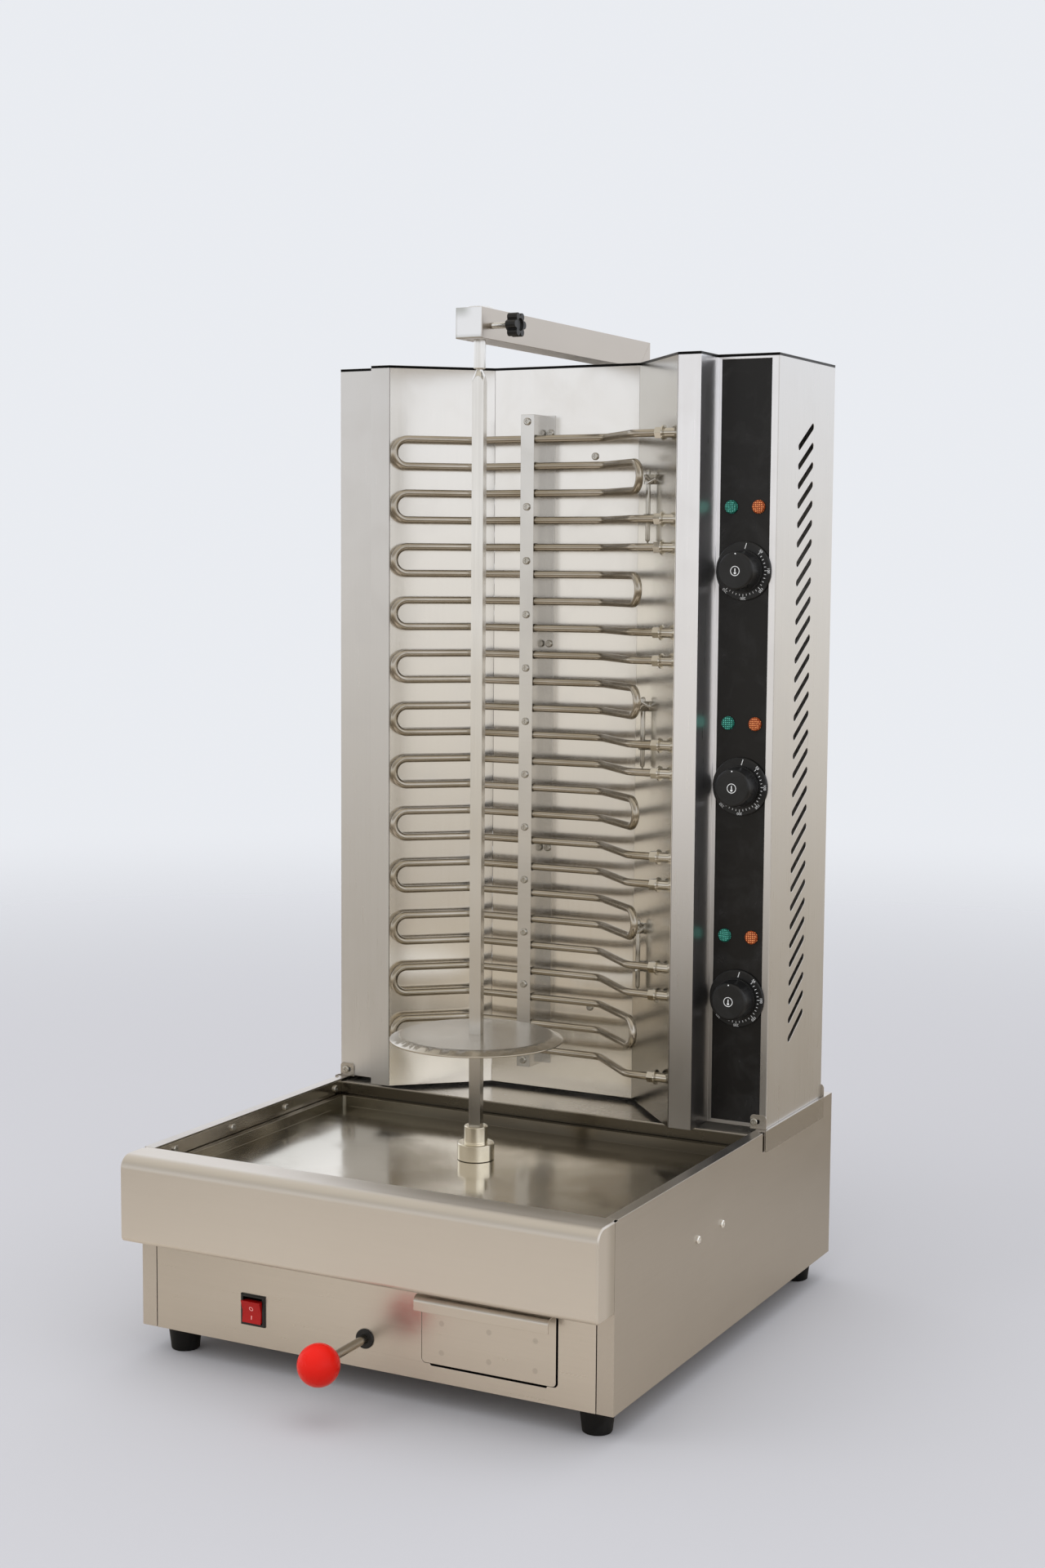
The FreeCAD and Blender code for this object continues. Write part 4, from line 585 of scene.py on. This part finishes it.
eased = {
    "mergeWithin": 0.002,
    "flatAngle": 0.4,    # faces that meet at less are one
    "segments": 2,
    "edgeAngle": 35,
    "smoothAngle": 50,
}
coverings = {    # material and width of the eased edges
    "base_side_left": ("casingSide", 0.3), "base_side_right": ("casingSide", 0.3),
    "front_panel": ("panelSheet", 0.25), "front_lip": ("lipSheet", 0.4),
    "base_rear_panel": ("casingSide", 0.2), "base_floor": ("zincSheet", 0.2),
    "well_frame": ("wellSheet", 0.2), "rear_deck": ("deckSheet", 0.3), "drip_pan": ("panSheet", 0.3),
    "pan_fittings": ("wellSheet", 0.15),
    "rubber_feet": ("rubberBlack", 0), "foot_brackets": ("bracketSheet", 0.35),
    "screws_and_bolts": ("screwSteel", 0.12), "column_left_shell": ("columnSheet", 0.35),
    "column_right_shell": ("rightBoxSheet", 0.35), "column_rear_cover": ("columnSheet", 0.2),
    "column_top_cover": ("capSheet", 0.1), "reflector_back": ("reflectorSheet", 0.2),
    "reflector_left_wing": ("reflectorSheet", 0.2), "reflector_right_wing": ("rightWingSheet", 0.2),
    "control_fascia": ("fasciaBlack", 0.2), "element_glands": ("ferruleSteel", 0.15),
    "clamp_bracket": ("stripSheet", 0.2), "clamp_strip": ("stripSheet", 0.25),
    "thermostat_feelers": ("screwSteel", 0), "thermostat_bodies": ("glazedWhite", 0.4),
    "dial_rings": ("knobBlack", 0.2), "green_lamps": ("lensGreen", 0), "orange_lamps": ("lensOrange", 0),
    "spit_rod": ("spitSteel", 0.25), "spit_socket": ("socketSteel", 0.25), "drive_shaft": ("spitSteel", 0),
    "disc_pin": ("spitSteel", 0), "spit_disc": ("discSteel", 0.3), "gear_motor": ("motorGrey", 0.6),
    "bearing_housing": ("motorGrey", 0.4), "top_arm": ("armSheet", 0.3), "arm_post": ("armSheet", 0.3),
    "post_strap": ("armSheet", 0.3), "top_pin": ("spitSteel", 0.2), "star_knob": ("knobBlack", 0.6),
    "pull_rod": ("tubeSteel", 0.2), "ball_knob": ("ballRed", 0), "rod_bush": ("knobBlack", 0.2),
    "switch_frame": ("knobBlack", 0.2), "switch_rocker": ("rockerRed", 0.4),
    "drawer_front": ("drawerSheet", 0.25), "drawer_tray": ("casingSide", 0.2),
    "drawer_runners": ("zincSheet", 0.2), "terminal_block": ("glazedWhite", 0.3),
    "cable_gland": ("knobBlack", 0.3),
}
for number in range(1, 7):
    coverings["heating_element_%d" % number] = ("tubeSteel", 0)
for number in range(1, 4):
    coverings["temperature_knob_%d" % number] = ("knobBlack", 0.2)

behaviour = frame["record"]["behaviour"]
bodyOfNode = {node: body for body, members in behaviour["bodies"].items() for node in members}


def coverNode(nodeName, materialName, easing):
    # A finished copy of a CAD node: its points merged, its edges eased, its round faces smooth.
    piece = bpy.data.objects.new(nodeName + "_finished", nodes[nodeName].data.copy())
    scene.collection.objects.link(piece)
    pick(piece)
    editMode()
    bpy.ops.mesh.select_all(action="SELECT")
    bpy.ops.mesh.remove_doubles(threshold=eased["mergeWithin"] * mm)
    if easing:
        bpy.ops.mesh.dissolve_limited(angle_limit=math.radians(eased["flatAngle"]))
    objectMode()
    if easing:
        addModifier(piece, "BEVEL", width=easing * mm, segments=eased["segments"], limit_method="ANGLE",
                    angle_limit=math.radians(eased["edgeAngle"]), use_clamp_overlap=False)
    finishPiece(piece, piece.name, paint[materialName], bodyOfNode[nodeName],
                eased["smoothAngle"])
    if easing:
        addModifier(piece, "WEIGHTED_NORMAL", keep_sharp=True)
    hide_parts(nodeName)


for nodeName, (materialName, easing) in coverings.items():
    coverNode(nodeName, materialName, easing)
print("covered nodes:", len(coverings))


# Threaded stud that joins the star knob to the arm

starStud = {
    "radius": 3.0,
    "rootShare": 0.84,
    "pitch": 1.0,
    "turns": 25,
    "startGap": 0.1,    # from the plain stud's end to the thread
    "hubFace": 31.5,
    "hubMargin": 0.4,
    "sides": 24,
    "smoothAngle": 25,
}


def makeStarStud():
    # The plain stud of the knob's copy is cut off, and a threaded one takes its place.
    knob = bpy.data.objects["star_knob_finished"]
    cutAt = (starStud["hubFace"] - starStud["hubMargin"]) * mm
    pick(knob)
    editMode()
    selectOnly(knob, "FACE", lambda face: face.center.x < cutAt)
    bpy.ops.mesh.delete(type="FACE")
    objectMode()
    low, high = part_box("star_knob")
    length = starStud["pitch"] * starStud["turns"] * mm
    start = low.x + starStud["startGap"] * mm
    middle = (start + length / 2, (low.y + high.y) / 2, (low.z + high.z) / 2)
    deselectAll()
    bpy.ops.mesh.primitive_cylinder_add(vertices=starStud["sides"], radius=starStud["radius"] * mm,
                                        depth=length, location=middle, rotation=(0, math.pi / 2, 0))
    stud = bpy.context.object
    applyPlace(stud)

    def runsAlong(edge):
        first, second = (stud.data.vertices[i].co.x for i in edge.vertices)
        return abs(first - second) > length / 2

    def isRoot(point):
        return round((point.co.x - start) / (starStud["pitch"] * mm / 2)) % 2 == 0

    editMode()
    selectOnly(stud, "EDGE", runsAlong)
    bpy.ops.mesh.subdivide(number_cuts=2 * starStud["turns"] - 1)
    selectOnly(stud, "VERT", isRoot)
    bpy.ops.transform.resize(value=(1, starStud["rootShare"], starStud["rootShare"]))
    objectMode()
    finishPiece(stud, "star_stud_thread", paint["spitSteel"], "star", starStud["smoothAngle"])


makeStarStud()
print("stud threaded")


# Flat pieces of print that face the front

def plate(centre, size):
    deselectAll()
    bpy.ops.mesh.primitive_cube_add(size=1, location=centre)
    piece = bpy.context.object
    piece.scale = size
    applyPlace(piece)
    return piece


def spot(centre, radius, thickness, sides):
    deselectAll()
    bpy.ops.mesh.primitive_cylinder_add(vertices=sides, radius=radius, depth=thickness, location=centre,
                                        rotation=(math.pi / 2, 0, 0))
    piece = bpy.context.object
    applyPlace(piece)
    return piece


def ringOf(centre, radius, width, thickness, sides):
    deselectAll()
    bpy.ops.mesh.primitive_circle_add(vertices=sides, radius=radius, rotation=(math.pi / 2, 0, 0))
    piece = bpy.context.object
    applyPlace(piece)
    editMode()
    bpy.ops.mesh.select_all(action="SELECT")
    bpy.ops.mesh.extrude_edges_move()
    share = (radius - width) / radius
    bpy.ops.transform.resize(value=(share, share, share))
    objectMode()
    addModifier(piece, "SOLIDIFY", thickness=thickness, offset=0)
    piece.data.transform(Matrix.Translation(centre))
    return piece


def turnAboutY(piece, centre, angle):
    # Clockwise as seen from the front.
    piece.data.transform(Matrix.Translation(centre) @ Matrix.Rotation(angle, 4, "Y")
                         @ Matrix.Translation(-centre))


# Print on the dials: ticks and numbers on the rings

dialPrint = {
    "firstAngle": 44.0,
    "tickStep": 9.0,
    "tickCount": 21,
    "tickRadius": 24.3,
    "tickLength": 2.0,
    "tickWidth": 0.55,
    "longTick": 1.35,    # share of a labelled tick
    "labelEvery": 5,
    "firstLabel": 50,
    "labelStep": 50,
    "labelRadius": 27.6,
    "labelSize": 3.9,
    "curveSteps": 3,
    "startAngle": 6.0,
    "startLean": 12.0,
    "startRadius": 25.4,
    "startLength": 6.0,
    "startWidth": 0.77,
    "thickness": 0.12,
}


def word(text, centre, size, angle):
    deselectAll()
    bpy.ops.object.text_add(location=(0, 0, 0))
    piece = bpy.context.object
    piece.data.body = text
    piece.data.size = size
    piece.data.align_x = "CENTER"
    piece.data.align_y = "CENTER"
    piece.data.extrude = dialPrint["thickness"] * mm / 2
    piece.data.resolution_u = dialPrint["curveSteps"]
    pick(piece)
    bpy.ops.object.convert(target="MESH")
    piece = bpy.context.object
    piece.data.transform(Matrix.Translation(centre) @ Matrix.Rotation(angle, 4, "Y")
                         @ Matrix.Rotation(math.pi / 2, 4, "X"))
    return piece


def makeDialPrint(number):
    low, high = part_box("temperature_knob_%d" % number)
    thick = dialPrint["thickness"] * mm
    centre = Vector(((low.x + high.x) / 2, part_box("dial_rings")[0].y - thick / 2, (low.z + high.z) / 2))
    parts = []
    for i in range(dialPrint["tickCount"]):
        angle = math.radians(dialPrint["firstAngle"] + i * dialPrint["tickStep"])
        labelled = i % dialPrint["labelEvery"] == 0
        long = dialPrint["tickLength"] * (dialPrint["longTick"] if labelled else 1.0)
        out = dialPrint["tickRadius"] + (long - dialPrint["tickLength"]) / 2
        tick = plate(centre + Vector((0, 0, out * mm)), (dialPrint["tickWidth"] * mm, thick, long * mm))
        turnAboutY(tick, centre, angle)
        parts.append(tick)
        if labelled:
            label = dialPrint["firstLabel"] + i // dialPrint["labelEvery"] * dialPrint["labelStep"]
            place = centre + Vector((math.sin(angle), 0, math.cos(angle))) * dialPrint["labelRadius"] * mm
            parts.append(word(str(label), place, dialPrint["labelSize"] * mm, angle))
    startPlace = centre + Vector((0, 0, dialPrint["startRadius"] * mm))
    start = plate(startPlace, (dialPrint["startWidth"] * mm, thick, dialPrint["startLength"] * mm))
    turnAboutY(start, startPlace, math.radians(dialPrint["startLean"]))
    turnAboutY(start, centre, math.radians(dialPrint["startAngle"]))
    parts.append(start)
    finishPiece(joinPieces(parts, "dial_print"), "dial_print_%d" % number, paint["printWhite"], "chassis",
                0)


# Print on the knobs: a dot at the rim and a thermometer in a ring

knobPrint = {
    "thickness": 0.12,
    "rise": 0.036,    # from the knob's face to the middle of the print
    "ringRadius": 5.0,
    "ringWidth": 0.65,
    "ringSides": 40,
    "stemPlace": 0.6,
    "stemWidth": 1.0,
    "stemLength": 4.2,
    "bulbPlace": -2.0,
    "bulbRadius": 1.25,
    "bulbSides": 20,
    "dotPlace": 17.3,
    "dotRadius": 0.75,
    "dotSides": 16,
    "dotSink": 0.1,
}


def makeKnobPrint(number):
    low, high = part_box("temperature_knob_%d" % number)
    thick = knobPrint["thickness"] * mm
    centre = Vector(((low.x + high.x) / 2, low.y - knobPrint["rise"] * mm, (low.z + high.z) / 2))
    stemPlace = centre + Vector((0, 0, knobPrint["stemPlace"])) * mm
    bulbPlace = centre + Vector((0, 0, knobPrint["bulbPlace"])) * mm
    dotPlace = centre + Vector((0, knobPrint["dotSink"], knobPrint["dotPlace"])) * mm
    parts = [
        ringOf(centre, knobPrint["ringRadius"] * mm, knobPrint["ringWidth"] * mm, thick,
               knobPrint["ringSides"]),
        plate(stemPlace, (knobPrint["stemWidth"] * mm, thick, knobPrint["stemLength"] * mm)),
        spot(bulbPlace, knobPrint["bulbRadius"] * mm, thick, knobPrint["bulbSides"]),
        spot(dotPlace, knobPrint["dotRadius"] * mm, thick, knobPrint["dotSides"]),
    ]
    finishPiece(joinPieces(parts, "knob_print"), "knob_print_%d" % number, paint["printWhite"],
                "knob_%d" % number, 0)


for number in range(1, 4):
    makeDialPrint(number)
    makeKnobPrint(number)
print("dials printed")


# Signs on the rocker: a ring on its upper half and a bar on its lower half

rockerPrint = {
    "restTilt": 7.0,
    "faceTilt": 11.5,
    "waist": 6.2,    # from the pivot to the middle of the face
    "ringPlace": 3.2,
    "ringRadius": 2.3,
    "ringWidth": 0.7,
    "ringSides": 28,
    "barPlace": -5.6,
    "barLength": 3.8,
    "barWidth": 0.9,
    "thickness": 0.15,
}


def putOnRocker(sign, pivot, place, tilt):
    # Moves a sign from the origin onto the half of the rocker's face that has this tilt.
    out = rockerPrint["waist"] + abs(place) * math.tan(abs(tilt))
    rest = Matrix.Rotation(math.radians(rockerPrint["restTilt"]), 4, "X")
    local = Matrix.Translation(Vector((0, -out, place)) * mm) @ Matrix.Rotation(tilt, 4, "X")
    sign.data.transform(Matrix.Translation(pivot) @ rest @ local)


def makeRockerPrint():
    joint = next(joint for joint in behaviour["joints"] if joint["name"] == "rocker_tilt")
    pivot = Vector(joint["pos_m"])
    thick = rockerPrint["thickness"] * mm
    tilt = math.radians(rockerPrint["faceTilt"])
    ring = ringOf(Vector((0, 0, 0)), rockerPrint["ringRadius"] * mm, rockerPrint["ringWidth"] * mm,
                  thick, rockerPrint["ringSides"])
    bar = plate((0, 0, 0), (rockerPrint["barWidth"] * mm, thick, rockerPrint["barLength"] * mm))
    putOnRocker(ring, pivot, rockerPrint["ringPlace"], tilt)
    putOnRocker(bar, pivot, rockerPrint["barPlace"], -tilt)
    finishPiece(joinPieces([ring, bar], "rocker_print"), "rocker_print", paint["printRose"], "rocker",
                0)


makeRockerPrint()
print("rocker printed")


# Floor

floorLook = {
    "radius": 7.0,
    "sides": 96,
    "fade": (1.2, 4.5),
    "fadeInSteel": (0.6, 1.2),
    "colour": (0.50, 0.49, 0.495),
    "colourInSteelFront": (0.60, 0.53, 0.44),
    "colourInSteelBack": (0.32, 0.29, 0.25),
    "frontToBack": (-0.3, 0.9),
}


def makeFloor():
    deselectAll()
    bpy.ops.mesh.primitive_circle_add(vertices=floorLook["sides"], radius=floorLook["radius"],
                                      fill_type="NGON")
    floor = bpy.context.object
    floor.name = "floor"
    material = bpy.data.materials.new("paleFloor")
    material.use_nodes = True
    tree = material.node_tree
    tree.nodes.remove(tree.nodes["Principled BSDF"])
    place = addNode(tree, "ShaderNodeTexCoord").outputs["Object"]
    depth = between(tree, splitAxes(tree, place)["Y"], *floorLook["frontToBack"], kind="LINEAR")
    inSteel = mixColour(tree, depth, floorLook["colourInSteelFront"], floorLook["colourInSteelBack"])
    glossy = addNode(tree, "ShaderNodeLightPath").outputs["Is Glossy Ray"]
    matt = addNode(tree, "ShaderNodeBsdfDiffuse")
    tree.links.new(mixColour(tree, glossy, floorLook["colour"], inSteel), matt.inputs["Color"])
    reach = addNode(tree, "ShaderNodeVectorMath", operation="LENGTH")
    tree.links.new(place, reach.inputs[0])
    fades = [between(tree, reach.outputs["Value"], *floorLook[key]) for key in ("fade", "fadeInSteel")]
    clear = addNode(tree, "ShaderNodeBsdfTransparent")
    blend = addNode(tree, "ShaderNodeMixShader")
    tree.links.new(mixColour(tree, glossy, *fades), blend.inputs[0])
    tree.links.new(matt.outputs[0], blend.inputs[1])
    tree.links.new(clear.outputs[0], blend.inputs[2])
    tree.links.new(blend.outputs[0], tree.nodes["Material Output"].inputs["Surface"])
    floor.data.materials.append(material)


# The room as its light and as it shows in the steel: dim at one side, dull overhead

room = {
    "backdrop": (0.82, 0.84, 0.88),
    "heights": (-0.5, 0.5),
    "low": ((0.20, (0.28, 0.24, 0.19)), (0.34, (0.48, 0.42, 0.34)), (0.42, (0.80, 0.75, 0.67)),
            (0.50, (0.93, 0.90, 0.85)), (0.56, (1.0, 1.0, 1.0))),
    "high": ((0.50, (1.0, 1.0, 1.0)), (0.60, (1.04, 1.07, 1.13)), (0.85, (1.15, 1.18, 1.25))),
    "dimSide": (-0.46, -0.88, 0.0),
    "dimSpread": (0.1, 0.6),
    "dimHeights": (0.08, 0.30),
    "dimInSteel": (0.50, 0.47, 0.42),
    "overheadHeights": (0.45, 0.8),
    "overheadInSteel": (0.74, 0.69, 0.60),
}


def makeWorld():
    world = bpy.data.worlds.new("softRoom")
    scene.world = world
    world.use_nodes = True
    tree = world.node_tree
    direction = addNode(tree, "ShaderNodeTexCoord").outputs["Generated"]
    upwards = splitAxes(tree, direction)["Z"]
    height = between(tree, upwards, *room["heights"], kind="LINEAR")
    lit = mixColour(tree, 1.0, ramp(tree, height, room["low"]), ramp(tree, height, room["high"]),
                    "MULTIPLY")
    path = addNode(tree, "ShaderNodeLightPath")
    side = addNode(tree, "ShaderNodeVectorMath", operation="DOT_PRODUCT", in_1=room["dimSide"])
    tree.links.new(direction, side.inputs[0])
    dim = mathNode(tree, "MULTIPLY", between(tree, side.outputs["Value"], *room["dimSpread"]),
                   between(tree, upwards, *room["dimHeights"]))
    dim = mathNode(tree, "MULTIPLY", dim, path.outputs["Is Glossy Ray"])
    lit = mixColour(tree, dim, lit, room["dimInSteel"])
    overhead = mathNode(tree, "MULTIPLY", between(tree, upwards, *room["overheadHeights"]),
                        path.outputs["Is Glossy Ray"])
    lit = mixColour(tree, overhead, lit, room["overheadInSteel"])
    seen = mixColour(tree, path.outputs["Is Camera Ray"], lit, room["backdrop"])
    tree.links.new(seen, tree.nodes["Background"].inputs["Color"])


# Lamps and camera

lamps = {
    "windowLight": {"place": (-2.2, -2.4, 2.6), "target": (0, 0, 0.5), "size": 2.2, "watts": 22,
                    "colour": (0.97, 0.98, 1.0)},
    "ceilingLight": {"place": (0.4, -0.4, 3.2), "target": (0, 0, 0.3), "size": 2.6, "watts": 18,
                     "colour": (1, 1, 1)},
}
cameraView = {
    "place": (1.0872, -2.0141, 0.7875),
    "turn": 27.585,    # to the left
    "tip": -5.590,    # down
    "roll": 0.396,
    "lens": 51.72,
}


def makeLamp(name, values):
    data = bpy.data.lights.new(name, "AREA")
    data.shape = "RECTANGLE"
    data.size = values["size"]
    data.size_y = values["size"]
    data.energy = values["watts"]
    data.color = values["colour"]
    lamp = bpy.data.objects.new(name, data)
    scene.collection.objects.link(lamp)
    lamp.location = values["place"]
    towards = Vector(values["target"]) - Vector(values["place"])
    lamp.rotation_euler = towards.to_track_quat("-Z", "Y").to_euler()
    lamp.visible_glossy = False


def makeCamera():
    turn, tip, roll = (math.radians(cameraView[key]) for key in ("turn", "tip", "roll"))
    ahead = Vector((-math.sin(turn) * math.cos(tip), math.cos(turn) * math.cos(tip), math.sin(tip)))
    right = ahead.cross(Vector((0, 0, 1))).normalized()
    up = right.cross(ahead)
    sideways = right * math.cos(roll) + up * math.sin(roll)
    upwards = up * math.cos(roll) - right * math.sin(roll)
    data = bpy.data.cameras.new("photoCamera")
    data.lens = cameraView["lens"]
    camera = bpy.data.objects.new("photoCamera", data)
    scene.collection.objects.link(camera)
    camera.matrix_world = (Matrix.Translation(cameraView["place"])
                           @ Matrix((sideways, upwards, -ahead)).transposed().to_4x4())
    scene.camera = camera


makeFloor()
makeWorld()
for name, values in lamps.items():
    makeLamp(name, values)
makeCamera()
scene.view_settings.view_transform = "Standard"
print("floor, light and camera placed")
